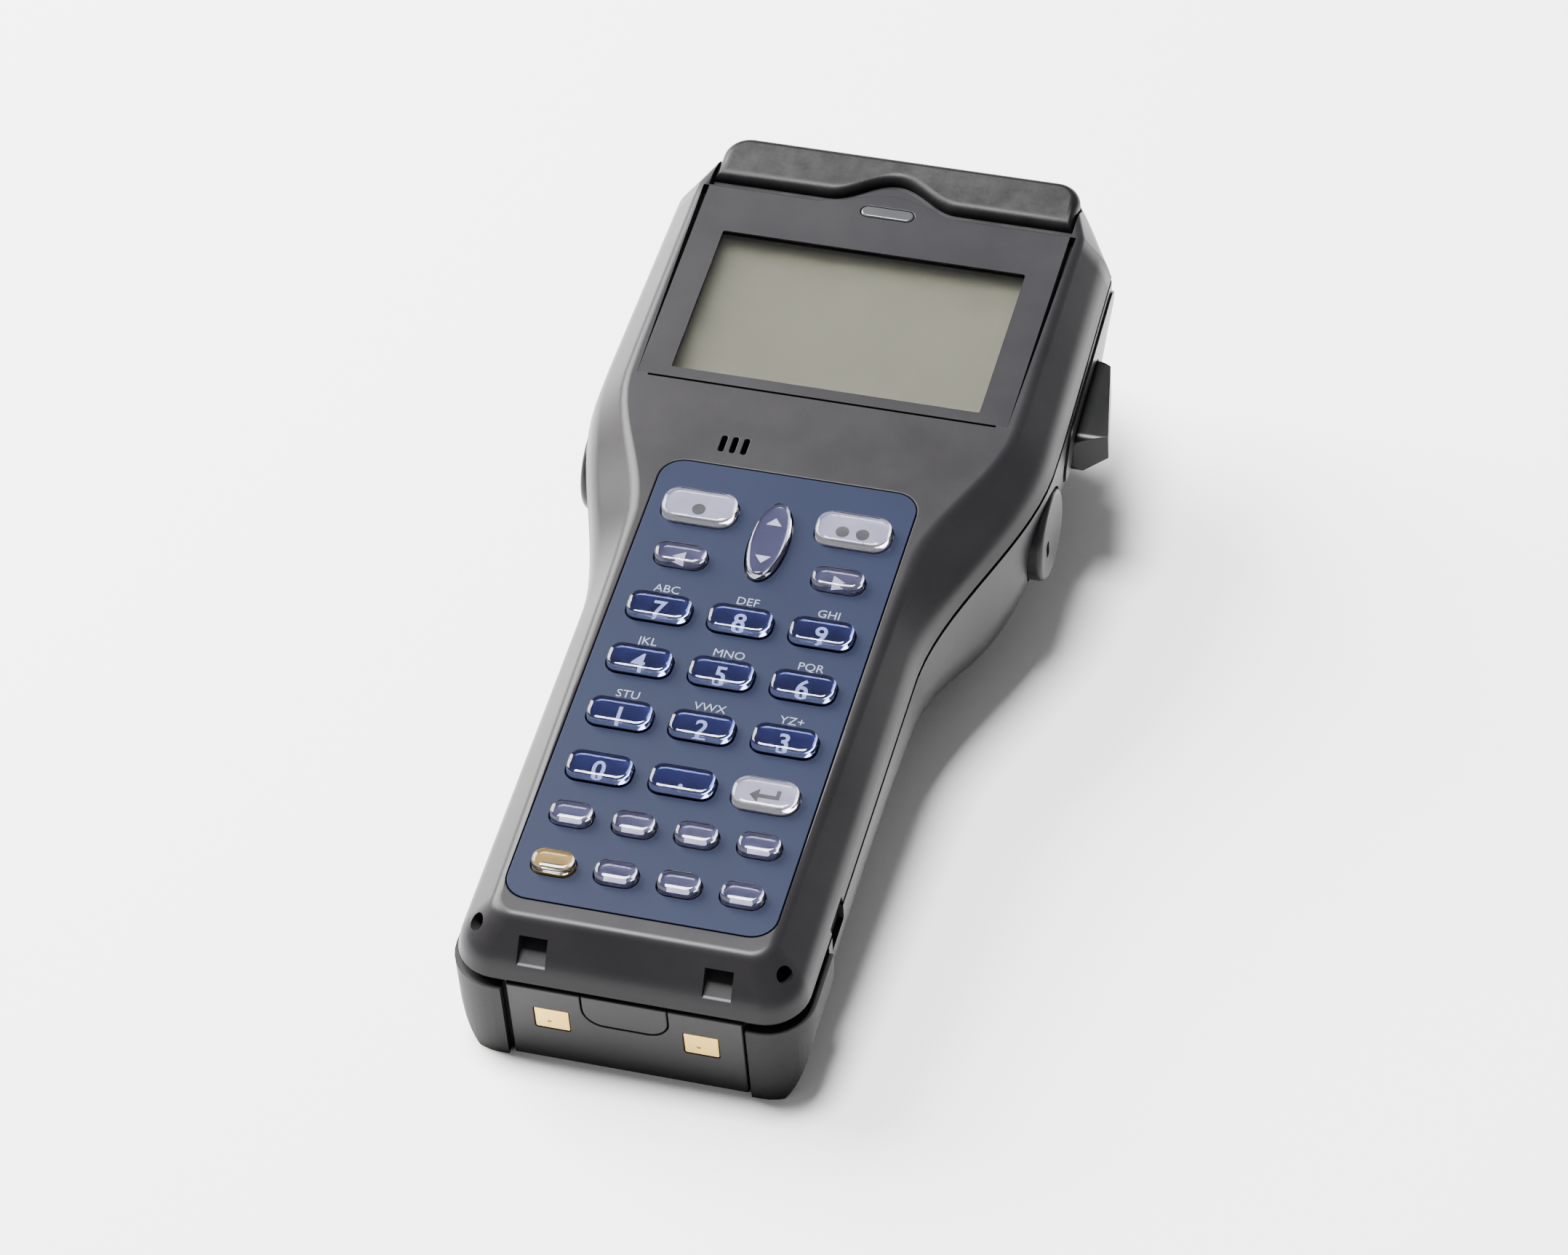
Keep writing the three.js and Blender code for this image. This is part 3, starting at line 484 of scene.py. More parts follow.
def bezel_shape(spare, sides=0.0):
    """The bezel plate; sides widens its upper end, where the crease beside it opens."""
    half = BEZEL["half"] + spare
    low, high = BEZEL["low"], BEZEL["high"] + spare
    top = [(half + sides, high)] + wave(high, 3, 12)[::-1] + [(-half - sides, high)]
    return [(-half, low), (half, low)] + top


def bumper_step(spare):
    half = BUMPER["half"] + GAP + spare
    edge = BUMPER["edge"] - 0.8 - spare
    return [(-half, 120), (-half, edge)] + wave(edge, BUMPER["notch"], 10) + [(half, edge), (half, 120)]


keypad_shape = rounded(-KEYPAD["half"], KEYPAD["half"], KEYPAD["low"], KEYPAD["high"], KEYPAD["radius"])


def front_rings(inset, under, face_z, soft):
    """Seam, waist and face joined by straight flanks, with both bends rounded off over soft."""
    seam = [Vector((x, y, under)) for x, y in outline(SEAM, inset)]
    waist = [Vector((x, y, -5)) for x, y in outline(WAIST, inset)]
    face = [Vector((x, y, face_z)) for x, y in outline(FACE, inset)]
    inner = [Vector((x, y, face_z)) for x, y in outline(FACE, inset + 2)]
    if not soft:
        return [seam, waist, face]

    def bend(before, at, after, reach, parts=5):
        rings = []
        for t in (k / parts for k in range(parts + 1)):
            ring = []
            for a, b, c in zip(before, at, after):
                start = b + (a - b).normalized() * min(reach, (a - b).length * 0.48)
                stop = b + (c - b).normalized() * min(reach, (c - b).length * 0.48)
                ring.append(start * (1 - t) ** 2 + b * 2 * t * (1 - t) + stop * t * t)
            rings.append(ring)
        return rings

    edge = [Vector((p.x, p.y, under + 0.25)) for p in seam]
    tucked = [Vector((x, y, under)) for x, y in outline(SEAM, inset + 0.25)]
    return [tucked, edge] + bend(edge, waist, face, soft) + bend(waist, face, inner, soft * 0.7)


front = loft(front_rings(0, PARTING, 0, 1.6))
cuts = [loft(front_rings(WALL, PARTING - 1, -2.6, 0)),
        pocket(keypad_shape, -1.5, 0, 0.2, GAP * 0.5),
        prism(keypad_shape, THROUGH, 1, spare=-1.2),
        pocket(lambda spare: bezel_shape(spare, 0.9), RECESS_FLOOR, 0, 0.012, 0.015, parts=1),
        pocket(bumper_step, RECESS_FLOOR, 0, 0.2),
        block(-26.5, 26.5, 44.6, 78.5, THROUGH, 1)]
for step in (-1, 0, 1):
    x = SLIT["x"] + step * SLIT["pitch"]
    slit_shape = rounded(x - SLIT["half"], x + SLIT["half"], SLIT["low"], SLIT["high"], 0.4, 4)
    cuts.append(pocket(slit_shape, THROUGH, 0, 0.12))
for side in (-1, 1):
    x = side * HOOK["x"]
    socket = [(END + 5.6, -2.0), (END - 5, -2.0), (END - 5, -5.6), (END + 1.6, -5.4), (END + 5.6, -3.6)]
    cuts.append(prism(lambda spare: socket, x - HOOK["half"], x + HOOK["half"], "x"))
    bore = drum(STRAP_HOLE["radius"], -STRAP_HOLE["long"], STRAP_HOLE["long"], 20)
    slant = Vector((side * 0.6, -0.62, 0.5)).to_track_quat("Z", "Y").to_matrix().to_4x4()
    middle = Matrix.Translation((side * STRAP_HOLE["x"], STRAP_HOLE["y"], STRAP_HOLE["z"]))
    cuts.append(moved(bore, middle @ slant))
    cuts.append(handed(block(CRADLE_NOTCH["x"], OUTSIDE, CRADLE_NOTCH["low"], CRADLE_NOTCH["high"],
                             PARTING - 1, CRADLE_NOTCH["over"]), side))
combine(front, cuts)
fit(front, "front_case_shell", "handset", "case_plastic", case_plastic, "front_case", smooth=28)


# ---------------------------------------------------------------------------------------------
# Gasket. A black silicone cord squeezed between the two cases, which keeps dust and rain out. It
# shows only as a dark line in the parting and is broken at the bay mouth and the cradle notches.
# ---------------------------------------------------------------------------------------------
black_rubber = moulded("black_rubber", (0.005, 0.005, 0.0055), (0.009, 0.0088, 0.0095),
                       0.55, 0.5, 0.03, patch=9, specular=0.18)
gasket = combine(prism(lambda spare: outline(SEAM, 0.5), REAR_TOP + 0.02, PARTING - 0.02),
                 [prism(lambda spare: outline(SEAM, 1.8), -20, 0)])
combine(gasket, [block(-BAY_HALF, BAY_HALF, END - 10, BAY_MOUTH, -20, 0)])
for side in (-1, 1):
    combine(gasket, [handed(block(CRADLE_NOTCH["x"] - GAP, OUTSIDE, CRADLE_NOTCH["low"] - GAP,
                                  CRADLE_NOTCH["high"] + GAP, -20, 0), side)])
fit(gasket, "parting_gasket", "handset", "black_rubber", black_rubber, "case_gasket")


# ---------------------------------------------------------------------------------------------
# Works inside the case: silicone key mat, circuit boards, tinned shield can, scan engine, buzzer,
# trigger switches and battery cell. They show only through slits and gaps or with the pack out.
# ---------------------------------------------------------------------------------------------
board_green = moulded("board_green", (0.012, 0.06, 0.03), (0.02, 0.11, 0.05), 0.4, 0.8, 0.02, patch=3)
silicone = moulded("silicone", (0.24, 0.24, 0.26), (0.3, 0.3, 0.32), 0.6, 0.6, 0.01)
black_part = moulded("black_part", (0.012, 0.012, 0.014), (0.02, 0.02, 0.022), 0.4, 0.4, 0.01)
cell_wrap = moulded("cell_wrap", (0.03, 0.08, 0.2), (0.05, 0.11, 0.26), 0.25, 2.0, 0.02)
tinned_steel = moulded("tinned_steel", (0.5, 0.51, 0.53), (0.62, 0.63, 0.65),
                       0.3, 0.25, 0.01, metal=1.0)
for node, paint in {
    "key_mat": silicone, "key_board": board_green, "main_board": board_green, "shield_can": tinned_steel,
    "scan_engine": black_part, "buzzer": black_part, "trigger_switch_left": tinned_steel,
    "trigger_switch_right": tinned_steel, "battery_cell": cell_wrap,
}.items():
    works = frame["nodes"][node]
    works.data.materials.clear()
    works.data.materials.append(paint)


# ---------------------------------------------------------------------------------------------
# Display. A grey-green reflective liquid crystal panel, unlit, under a clear acrylic window. The
# bezel round it is a satin ABS plate snapped in flush with the face, and a frosted light guide
# for the status lamp sits over the screen.
# ---------------------------------------------------------------------------------------------
bezel_plastic = moulded("bezel_plastic", (0.0115, 0.011, 0.0128), (0.0142, 0.0136, 0.0152),
                        0.34, 0.3, 0.005, patch=20, specular=0.2)
screen_hole = rounded(-SCREEN["half"], SCREEN["half"], SCREEN["low"], SCREEN["high"], 0.3, 3)
lens_shape = rounded(-4.1, 4.1, 83.4, 85.6, 1.09)
# The window, a little wider and longer than its hole, is cemented under the lip of the bezel.
WINDOW = dict(under=-1.35, top=-0.37, lip=-0.35, room=1.2, wider=1.045, middle=61.5, longer=0.07)
bezel = plate(bezel_shape, -BEZEL["thick"], 0, 0.012, parts=1)
undercut = prism(screen_hole, -5, WINDOW["lip"], spare=WINDOW["room"])
combine(bezel, [prism(screen_hole, -5, 1), undercut, pocket(lens_shape, -5, 0, 0.12, 0.12)])
fit(bezel, "bezel_plate", "handset", "bezel_plastic", bezel_plastic, "display_bezel")

lens_plastic = moulded("lens_plastic", (0.03, 0.031, 0.033), (0.04, 0.041, 0.043),
                       0.22, 0.5, 0.005, coat=0.1)
light_guide = plate(lens_shape, -BEZEL["thick"], 0.12, 0.3, parts=4)
fit(light_guide, "status_light_guide", "handset", "lens_plastic", lens_plastic, "status_lens")


def clear(name, tint, rough, waviness=0.00003):
    """A clear plastic with a hint of waviness from its mould."""
    paint = bpy.data.materials.new(name)
    paint.use_nodes = True
    tree = paint.node_tree
    shader = tree.nodes["Principled BSDF"]
    shader.inputs["Base Color"].default_value = (*tint, 1)
    shader.inputs["Roughness"].default_value = rough
    shader.inputs["IOR"].default_value = 1.49
    shader.inputs["Transmission Weight"].default_value = 1
    where = tree.nodes.new("ShaderNodeTexCoord")
    swell = tree.nodes.new("ShaderNodeTexNoise")
    swell.inputs["Scale"].default_value = 300
    swell.inputs["Detail"].default_value = 2
    texture = tree.nodes.new("ShaderNodeBump")
    texture.inputs["Strength"].default_value = 0.15
    texture.inputs["Distance"].default_value = waviness
    tree.links.new(where.outputs["Object"], swell.inputs["Vector"])
    tree.links.new(swell.outputs["Fac"], texture.inputs["Height"])
    tree.links.new(texture.outputs["Normal"], shader.inputs["Normal"])
    return paint


clear_window = clear("clear_window", (0.97, 0.975, 0.98), 0.02, 0.00002)
pane = plate(screen_hole, WINDOW["under"], WINDOW["top"], 0.06)
for vertex in pane.data.vertices:
    vertex.co.x *= WINDOW["wider"]
    vertex.co.y += (vertex.co.y - WINDOW["middle"]) * WINDOW["longer"]
fit(pane, "window_pane", "handset", "clear_window", clear_window, "display_window")

lcd_glass = moulded("lcd_glass", (0.135, 0.131, 0.092), (0.147, 0.143, 0.101),
                    0.4, 0.35, 0.004, patch=40, specular=0.3)
lcd = plate(rounded(-25.9, 25.9, 45, 78.1, 0.3, 3), -6.4, -3.4, 0.2)
fit(lcd, "lcd_panel", "handset", "lcd_glass", lcd_glass, "lcd_module")


# ---------------------------------------------------------------------------------------------
# Head bumper. Black rubber moulded over the end of the head, with a notch for a fingertip in its
# lower edge. Handling and dust have left its top face lighter and mottled.
# ---------------------------------------------------------------------------------------------
dusty_rubber = moulded("dusty_rubber", (0.003, 0.003, 0.0034), (0.0055, 0.0053, 0.0058),
                       0.42, 0.6, 0.03, patch=4, specular=0.18)
# Dust lies only where the rubber faces the same way as the keys, and is broken up into specks.
tree = dusty_rubber.node_tree
where = tree.nodes.new("ShaderNodeTexCoord")
facing = tree.nodes.new("ShaderNodeVectorMath")
facing.operation = "DOT_PRODUCT"
facing.inputs[1].default_value = TURN @ Vector((0, 0, 1))
flat_part = tree.nodes.new("ShaderNodeMapRange")
flat_part.inputs["From Min"].default_value = 0.985
flat_part.inputs["From Max"].default_value = 0.998
specks = tree.nodes.new("ShaderNodeTexNoise")
specks.inputs["Scale"].default_value = 260
specks.inputs["Detail"].default_value = 6
specks.inputs["Roughness"].default_value = 0.7
worn = tree.nodes.new("ShaderNodeMapRange")
worn.inputs["From Min"].default_value = 0.36
worn.inputs["From Max"].default_value = 0.66
worn.inputs["To Min"].default_value = 0.3
cover = tree.nodes.new("ShaderNodeMath")
cover.operation = "MULTIPLY"
dust = tree.nodes.new("ShaderNodeMix")
dust.data_type = "RGBA"
shades = tree.nodes["Color Ramp"]
tree.links.new(where.outputs["Normal"], facing.inputs[0])
tree.links.new(facing.outputs["Value"], flat_part.inputs["Value"])
tree.links.new(where.outputs["Object"], specks.inputs["Vector"])
tree.links.new(specks.outputs["Fac"], worn.inputs["Value"])
tree.links.new(flat_part.outputs["Result"], cover.inputs[0])
tree.links.new(worn.outputs["Result"], cover.inputs[1])
dust_inputs = [socket for socket in dust.inputs if socket.enabled]
dust_inputs[2].default_value = (0.02, 0.02, 0.0208, 1)
tree.links.new(cover.outputs["Value"], dust_inputs[0])
tree.links.new(shades.outputs["Color"], dust_inputs[1])
tree.links.new([socket for socket in dust.outputs if socket.enabled][0],
               tree.nodes["Principled BSDF"].inputs["Base Color"])


def bumper_shape(spare, edge=BUMPER["edge"] + 0.9):
    half, radius = BUMPER["half"] + spare, BUMPER["corner"] + spare
    low, high = edge - spare, BUMPER["high"] + spare
    turns = [math.radians(i * 10) for i in range(10)]
    top = [(half - radius + radius * math.cos(a), high - radius + radius * math.sin(a)) for a in turns]
    right = wave(low, BUMPER["notch"], 10) + [(half, low)] + top
    return [(-half, low)] + right + [(-x, y) for x, y in top[::-1]]


soft = BUMPER["soft"]
rim = [(BUMPER["proud"] - soft + soft * math.sin(a), soft * (math.cos(a) - 1))
       for a in (math.radians(15 * i) for i in range(7))]
bumper = stack(bumper_shape, [(BUMPER["under"], -0.5), (BUMPER["under"] + 0.5, 0)] + rim)
skirt = prism(lambda spare: bumper_shape(0, BUMPER["edge"] - 0.5), -BUMPER["thick"], -1.25)
combine(bumper, [skirt], "UNION")
combine(bumper, [block(-OUTSIDE, OUTSIDE, 60, HEAD + GAP, -30, -BUMPER["thick"])])
fit(bumper, "bumper_cap", "handset", "black_rubber", dusty_rubber, "head_bumper", smooth=45)


# ---------------------------------------------------------------------------------------------
# Keypad panel. A thin plate faced with a slate blue printed film, cut out for every key, with
# white letter groups printed over the number keys.
# ---------------------------------------------------------------------------------------------
PITCH, ROW, SMALL = 12.0, 10.17, 9.0
NUMBER = dict(w=PITCH - 2.6, h=ROW - 5.37, r=1.8, kind="navy")
ENTER = dict(w=PITCH - 2.4, h=ROW - 4.77, r=2.3, kind="clear")
WIDE = dict(w=11.2, h=6.0, r=2.4, kind="clear")
ARROW = dict(w=7.8, h=4.0, r=1.85, kind="smoke")
LITTLE = dict(w=SMALL - 2.8, h=3.8, r=1.75, kind="smoke")
POWER = dict(LITTLE, kind="amber")
keys = {"key_m1": (-11.5, 19.9, WIDE, "one_dot"), "key_m2": (11.5, 19.9, WIDE, "two_dots"),
        "key_left": (-11.7, 10.35, ARROW, "left"), "key_right": (11.7, 10.35, ARROW, "right"),
        "key_0": (-PITCH, -3 * ROW, NUMBER, "0"), "key_point": (0, -3 * ROW, NUMBER, "."),
        "key_enter": (PITCH, -3 * ROW, ENTER, "enter")}
for line, digits in enumerate(("789", "456", "123")):
    for column, digit in enumerate(digits):
        keys["key_" + digit] = ((column - 1) * PITCH, -line * ROW, NUMBER, digit)
for column in range(4):
    keys["key_f" + str(column + 1)] = ((column - 1.5) * SMALL, -39.3, LITTLE, "bar")
for column, label in enumerate(("power", "shift", "back", "clear")):
    keys["key_" + label] = ((column - 1.5) * SMALL, -48.2, LITTLE if column else POWER, "bar")


def key_shape(x, y, form):
    half, reach = form["w"] / 2, form["h"] / 2
    return rounded(x - half, x + half, y - reach, y + reach, form["r"], 6)


ROCKER = dict(half=2.75, reach=7.25)


def rocker_shape(spare, parts=22):
    """A pointed oval, like a boat seen from above."""
    half, reach = ROCKER["half"] + spare, ROCKER["reach"] + spare
    side = [(4.02 * half * t * (1 - t), ROCKER_PIVOT.y + reach * (6 * t * t - 4 * t ** 3 - 1))
            for t in (i / parts for i in range(parts + 1))]
    return side + [(-x, y) for x, y in side[-2:0:-1]]


keypad_film = moulded("keypad_film", (0.005, 0.0082, 0.0235), (0.006, 0.0097, 0.0272),
                      0.5, 0.35, 0.005, patch=30, specular=0.1)
panel = plate(keypad_shape, -KEYPAD["thick"], 0, 0.1)
combine(panel, [pocket(key_shape(x, y, form), -5, 0, 0.08, GAP * 0.6)
                for x, y, form, mark in keys.values()])
combine(panel, [prism(rocker_shape, -5, 1, spare=GAP)])
fit(panel, "keypad_film_plate", "handset", "keypad_film", keypad_film, "keypad_panel")

print_white = moulded("print_white", (0.75, 0.77, 0.82), (0.82, 0.84, 0.88), 0.5, 0.5, 0.005)
print_pale = moulded("print_pale", (0.13, 0.15, 0.22), (0.16, 0.18, 0.25), 0.5, 0.5, 0.005)


def lettering(text, height, weight, thick=0.04):
    """One line of plain letters, centred on zero and thick enough to be a solid."""
    curve = bpy.data.curves.new("letters", "FONT")
    curve.body = text
    curve.size = height * 1.38
    curve.align_x = "CENTER"
    curve.offset = weight
    curve.extrude = thick / 2
    curve.resolution_u = 3
    holder = bpy.data.objects.new("letters", curve)
    bpy.context.scene.collection.objects.link(holder)
    mesh = bpy.data.meshes.new_from_object(holder.evaluated_get(bpy.context.evaluated_depsgraph_get()))
    bpy.data.objects.remove(holder)
    mesh.transform(Matrix.Translation((0, -height / 2, 0)))
    return mesh


def joined(meshes):
    build = bmesh.new()
    for mesh in meshes:
        build.from_mesh(mesh)
    mesh = bpy.data.meshes.new("piece")
    build.to_mesh(mesh)
    build.free()
    made = bpy.data.objects.new("piece", mesh)
    bpy.context.scene.collection.objects.link(made)
    return made


LETTERS = dict(high=1.45, above=1.75)
letters = []
for digit, group in zip("789456123", ("ABC", "DEF", "GHI", "JKL", "MNO", "PQR", "STU", "VWX", "YZ+")):
    x, y, form, mark = keys["key_" + digit]
    mesh = lettering(group, LETTERS["high"], -0.012)
    mesh.transform(Matrix.Translation((x, y + form["h"] / 2 + LETTERS["above"], 0.0)))
    letters.append(mesh)
fit(joined(letters), "panel_letters", "handset", "keypad_film", print_pale)


# ---------------------------------------------------------------------------------------------
# Keys. Each is a clear acrylic cap, crowned along its length, on a coloured printed core with a
# flange that keeps it under the panel: navy number keys, silver wide keys, smoky small keys and an
# amber power key. Marks are printed on the core, so they also show bent in the front of the cap.
# ---------------------------------------------------------------------------------------------
FLANGE_TOP = -1.8
FLANGE_UNDER = -2.5
KEY_TOP = 1.55
CAP_SHOULDER = 0.6
CORE_TOP = {"navy": 0.25, "clear": 0.25, "smoke": 0.0, "amber": 0.3}
core_paint = {
    "navy": moulded("navy_core", (0.003, 0.004, 0.022), (0.004, 0.0055, 0.028),
                    0.35, 0.6, 0.01, patch=8),
    "clear": moulded("silver_core", (0.24, 0.24, 0.33), (0.3, 0.3, 0.39),
                     0.35, 0.6, 0.01, patch=8),
    "smoke": moulded("smoke_core", (0.045, 0.045, 0.08), (0.065, 0.065, 0.105),
                     0.35, 0.6, 0.01, patch=6),
    "amber": moulded("amber_core", (0.2, 0.14, 0.045), (0.24, 0.17, 0.06),
                     0.35, 0.6, 0.01, patch=6),
}
cap_paint = {
    "navy": clear("navy_cap", (0.3, 0.35, 0.7), 0.05),
    "clear": clear("silver_cap", (0.95, 0.95, 0.98), 0.05),
    "smoke": clear("smoke_cap", (0.62, 0.62, 0.76), 0.05),
    "amber": clear("amber_cap", (0.95, 0.88, 0.72), 0.05),
}
print_silver = moulded("print_silver", (0.5, 0.5, 0.58), (0.58, 0.58, 0.66), 0.5, 0.5, 0.005)
print_grey = moulded("print_grey", (0.008, 0.008, 0.014), (0.012, 0.012, 0.02), 0.5, 0.5, 0.005)
mark_paint = {"navy": print_white, "smoke": print_silver, "clear": print_grey, "amber": print_grey}
slot_of = {"navy": "key_navy", "clear": "key_clear", "smoke": "key_smoke", "amber": "key_amber"}


def flat_mark(points, thick=0.04):
    """A printed mark from one closed outline."""
    made = prism(lambda spare: points, -thick / 2, thick / 2)
    mesh = made.data
    bpy.data.objects.remove(made)
    return mesh


def mark_meshes(mark):
    if mark in "0123456789":
        return [lettering(mark, 2.9, 0.07)]
    if mark == ".":
        return [flat_mark([(x, y - 0.6) for x, y in ring_of(0.32)])]
    if mark in ("left", "right"):
        way = 1 if mark == "right" else -1
        tip = [(way * 1.1, 0.0), (-way * 0.7, 0.95), (-way * 0.7, -0.95)]
        return [flat_mark(tip if way > 0 else tip[::-1])]
    if mark == "enter":
        hook = [(-2.2, 0), (-0.9, 1.2), (-0.9, 0.3), (1.5, 0.3), (1.5, 1.3), (2.1, 1.3), (2.1, -0.3),
                (-0.9, -0.3), (-0.9, -1.2)]
        return [flat_mark(hook[::-1])]
    if mark == "bar":
        return [flat_mark([(-1.5, -0.5), (1.5, -0.5), (1.5, 0.0), (-1.5, 0.0)])]
    places = (-1.5, 1.5) if mark == "two_dots" else (0,)
    return [flat_mark([(place + x, y - 0.2) for x, y in ring_of(1.0)]) for place in places]


def crown(made, x, y, form, height):
    """Bows the top of a cap: highest along its middle, falling to its front and back edges."""
    for vertex in made.data.vertices:
        if vertex.co.z > CAP_SHOULDER:
            across = (vertex.co.y - y) / (form["h"] / 2)
            along = (vertex.co.x - x) / (form["w"] / 2)
            share = (vertex.co.z - CAP_SHOULDER) / (KEY_TOP - CAP_SHOULDER)
            vertex.co.z -= share * height * (across * across + 0.5 * along * along)
    return made


for name, (x, y, form, mark) in keys.items():
    kind, shape = form["kind"], key_shape(x, y, form)
    core_top = CORE_TOP[kind]
    core = stack(shape, [(FLANGE_UNDER, 0.5), (FLANGE_TOP, 0.5), (FLANGE_TOP, -0.04),
                         (core_top - 0.1, -0.04), (core_top, -0.14)])
    fit(core, name + "_core", name, slot_of[kind], core_paint[kind], name)
    top_rings = [(KEY_TOP, -inset) for inset in (0.42, 0.8, 1.25, 1.7)]
    cap = stack(shape, [(core_top + 0.03, -0.1), (core_top + 0.1, -0.02), (KEY_TOP - 0.38, -0.1),
                        (KEY_TOP - 0.2, -0.16), (KEY_TOP - 0.06, -0.3)] + top_rings)
    fit(crown(cap, x, y, form, 0.18), name + "_cap", name, slot_of[kind], cap_paint[kind], smooth=50)
    meshes = mark_meshes(mark)
    for mesh in meshes:
        mesh.transform(Matrix.Translation((x, y - 0.35, core_top + 0.015)))
    fit(joined(meshes), name + "_mark", name, slot_of[kind], mark_paint[kind])


# ---------------------------------------------------------------------------------------------
# Rocker key. A boat-shaped clear cap over a grey core that tilts about its middle, with an arrow
# at each end.
# ---------------------------------------------------------------------------------------------
rocker_core = stack(rocker_shape, [(FLANGE_UNDER, -0.04), (0.15, -0.04), (0.25, -0.14)])
arms = block(-ROCKER["half"] - 0.9, ROCKER["half"] + 0.9, ROCKER_PIVOT.y - 1, ROCKER_PIVOT.y + 1,
             FLANGE_UNDER + 0.02, FLANGE_TOP)
combine(rocker_core, [arms], "UNION")
fit(rocker_core, "rocker_core", "rocker_key", "key_smoke", core_paint["smoke"], "rocker_key")
rocker_cap = stack(rocker_shape, [(0.28, -0.1), (0.34, -0.02), (1.0, -0.1), (1.2, -0.16), (1.34, -0.3),
                                  (1.4, -0.5), (1.4, -0.9), (1.4, -1.4)])
fit(rocker_cap, "rocker_cap", "rocker_key", "key_smoke", cap_paint["smoke"], smooth=50)
arrows = []
for way in (-1, 1):
    tip = [(0, way * 0.8), (-way * 1.15, -way * 0.6), (way * 1.15, -way * 0.6)]
    mesh = flat_mark(tip)
    mesh.transform(Matrix.Translation((0, ROCKER_PIVOT.y + way * 3.6, 0.27)))
    arrows.append(mesh)
fit(joined(arrows), "rocker_arrows", "rocker_key", "key_smoke", print_white)


# ---------------------------------------------------------------------------------------------
# Scan window. A dark red acrylic pane that lets the scanning light through, cemented into a rebate
# in the nose of the head.
# ---------------------------------------------------------------------------------------------
scan_red = moulded("scan_red", (0.03, 0.003, 0.0045), (0.038, 0.004, 0.006),
                   0.12, 6.0, 0.002, spread=0.02, specular=0.12)
scan_window = moved(plate(window_shape, -1.5, 0, 0.25), WINDOW_POSE)
fit(scan_window, "scan_window_pane", "handset", "scan_window", scan_red, "scan_window")


# ---------------------------------------------------------------------------------------------
# Side panels, triggers and strap anchors. A long panel with round ends is let into each side of
# the head, with the black trigger button in it. Under it sits a round boss with a strap slot.
# ---------------------------------------------------------------------------------------------
trigger_black = moulded("trigger_black", (0.0025, 0.0025, 0.0028), (0.0042, 0.0041, 0.0044),
                        0.34, 0.4, 0.01, patch=10, specular=0.3)
STOP_FACE = head_skin - 4.2
TRIGGER_PROUD = {-1: 1.9, 1: 5.0}


def trigger_button(side):
    """A wedge with a slanting underside that stands out most at its lower end; the right is taller."""
    proud = TRIGGER_PROUD[side]
    low, high, outer, inner = TRIGGER["low"], TRIGGER["high"], head_skin + proud, STOP_FACE - 0.5
    top, under = TRIGGER["z"] + TRIGGER["half"], TRIGGER["z"] - TRIGGER["half"]
    plan = [(inner, low), (head_skin, low), (outer, low + 1.5), (head_skin + proud * 0.42, high - 1.6),
            (head_skin - 0.6, high), (inner, high)]
    end = [(inner, under), (head_skin + proud * 0.1, under), (outer, under + 2.9), (outer, top),
           (inner, top)]
    made = prism(lambda spare: plan, under, top)
    combine(made, [prism(lambda spare: end, 0, 100, "y"),
                   prism(trigger_shape, 0, OUTSIDE, "x")], "INTERSECT")
    edges = made.modifiers.new("edges", "BEVEL")
    edges.width = 0.35
    edges.segments = 3
    edges.angle_limit = math.radians(25)
    graph = bpy.context.evaluated_depsgraph_get()
    made.data = bpy.data.meshes.new_from_object(made.evaluated_get(graph))
    made.modifiers.clear()
    stop = block(STOP_FACE - 1, STOP_FACE, low - 1, high + 1, under - 0.6, top + 0.4)
    return handed(combine(made, [stop], "UNION"), side)


def anchor_boss(side):
    outer = ANCHOR["outer"]
    boss = anchor_drum([(FLANK, 0), (outer - 0.9, 0), (outer - 0.45, -0.12),
                        (outer - 0.12, -0.45), (outer, -0.9)])
    slot = rounded(ANCHOR["y"] - 3.9, ANCHOR["y"] - 2.4, ANCHOR["z"] - 1.2, ANCHOR["z"] + 1.6, 0.6)
    combine(boss, [rear_body(COVER_DEPTH, REAR_TOP + 2), prism(slot, outer - 1.6, outer + 2, "x")])
    return handed(boss, side)


for label, side in (("left", -1), ("right", 1)):
    cover = combine(rear_body(-SIDE_PANEL["proud"], REAR_TOP), [rear_body(COVER_DEPTH, REAR_TOP + 2)])
    combine(cover, [prism(side_panel_shape, FLANK, OUTSIDE, "x")], "INTERSECT")
    combine(cover, [prism(trigger_shape, FLANK, OUTSIDE, "x", GAP)])
    fit(handed(cover, side), "side_panel_cover_" + label, "handset", "case_plastic", case_plastic,
        "side_panel_" + label)
    fit(trigger_button(side), "trigger_button_" + label, "trigger_" + label, "trigger_plastic",
        trigger_black, "trigger_" + label, smooth=40)
    fit(anchor_boss(side), "strap_boss_" + label, "handset", "case_plastic", case_plastic,
        "strap_anchor_" + label)


# ---------------------------------------------------------------------------------------------
# Corner guards. Black rubber wrapped round both lower corners, beside the battery pack, bonded
# into recesses of the rear case and standing a little proud of it.
# ---------------------------------------------------------------------------------------------
GUARD = dict(proud=0.7, top=-9.4)
for label, side in (("left", -1), ("right", 1)):
    guard = combine(rear_body(-GUARD["proud"], GUARD["top"]), [rear_body(COVER_DEPTH, REAR_TOP + 2)])
    combine(guard, [corner_zone(0)], "INTERSECT")
    combine(guard, [table_block()])
    fit(handed(guard, side), "corner_bumper_" + label, "handset", "black_rubber", black_rubber,
        "corner_guard_" + label, smooth=45)


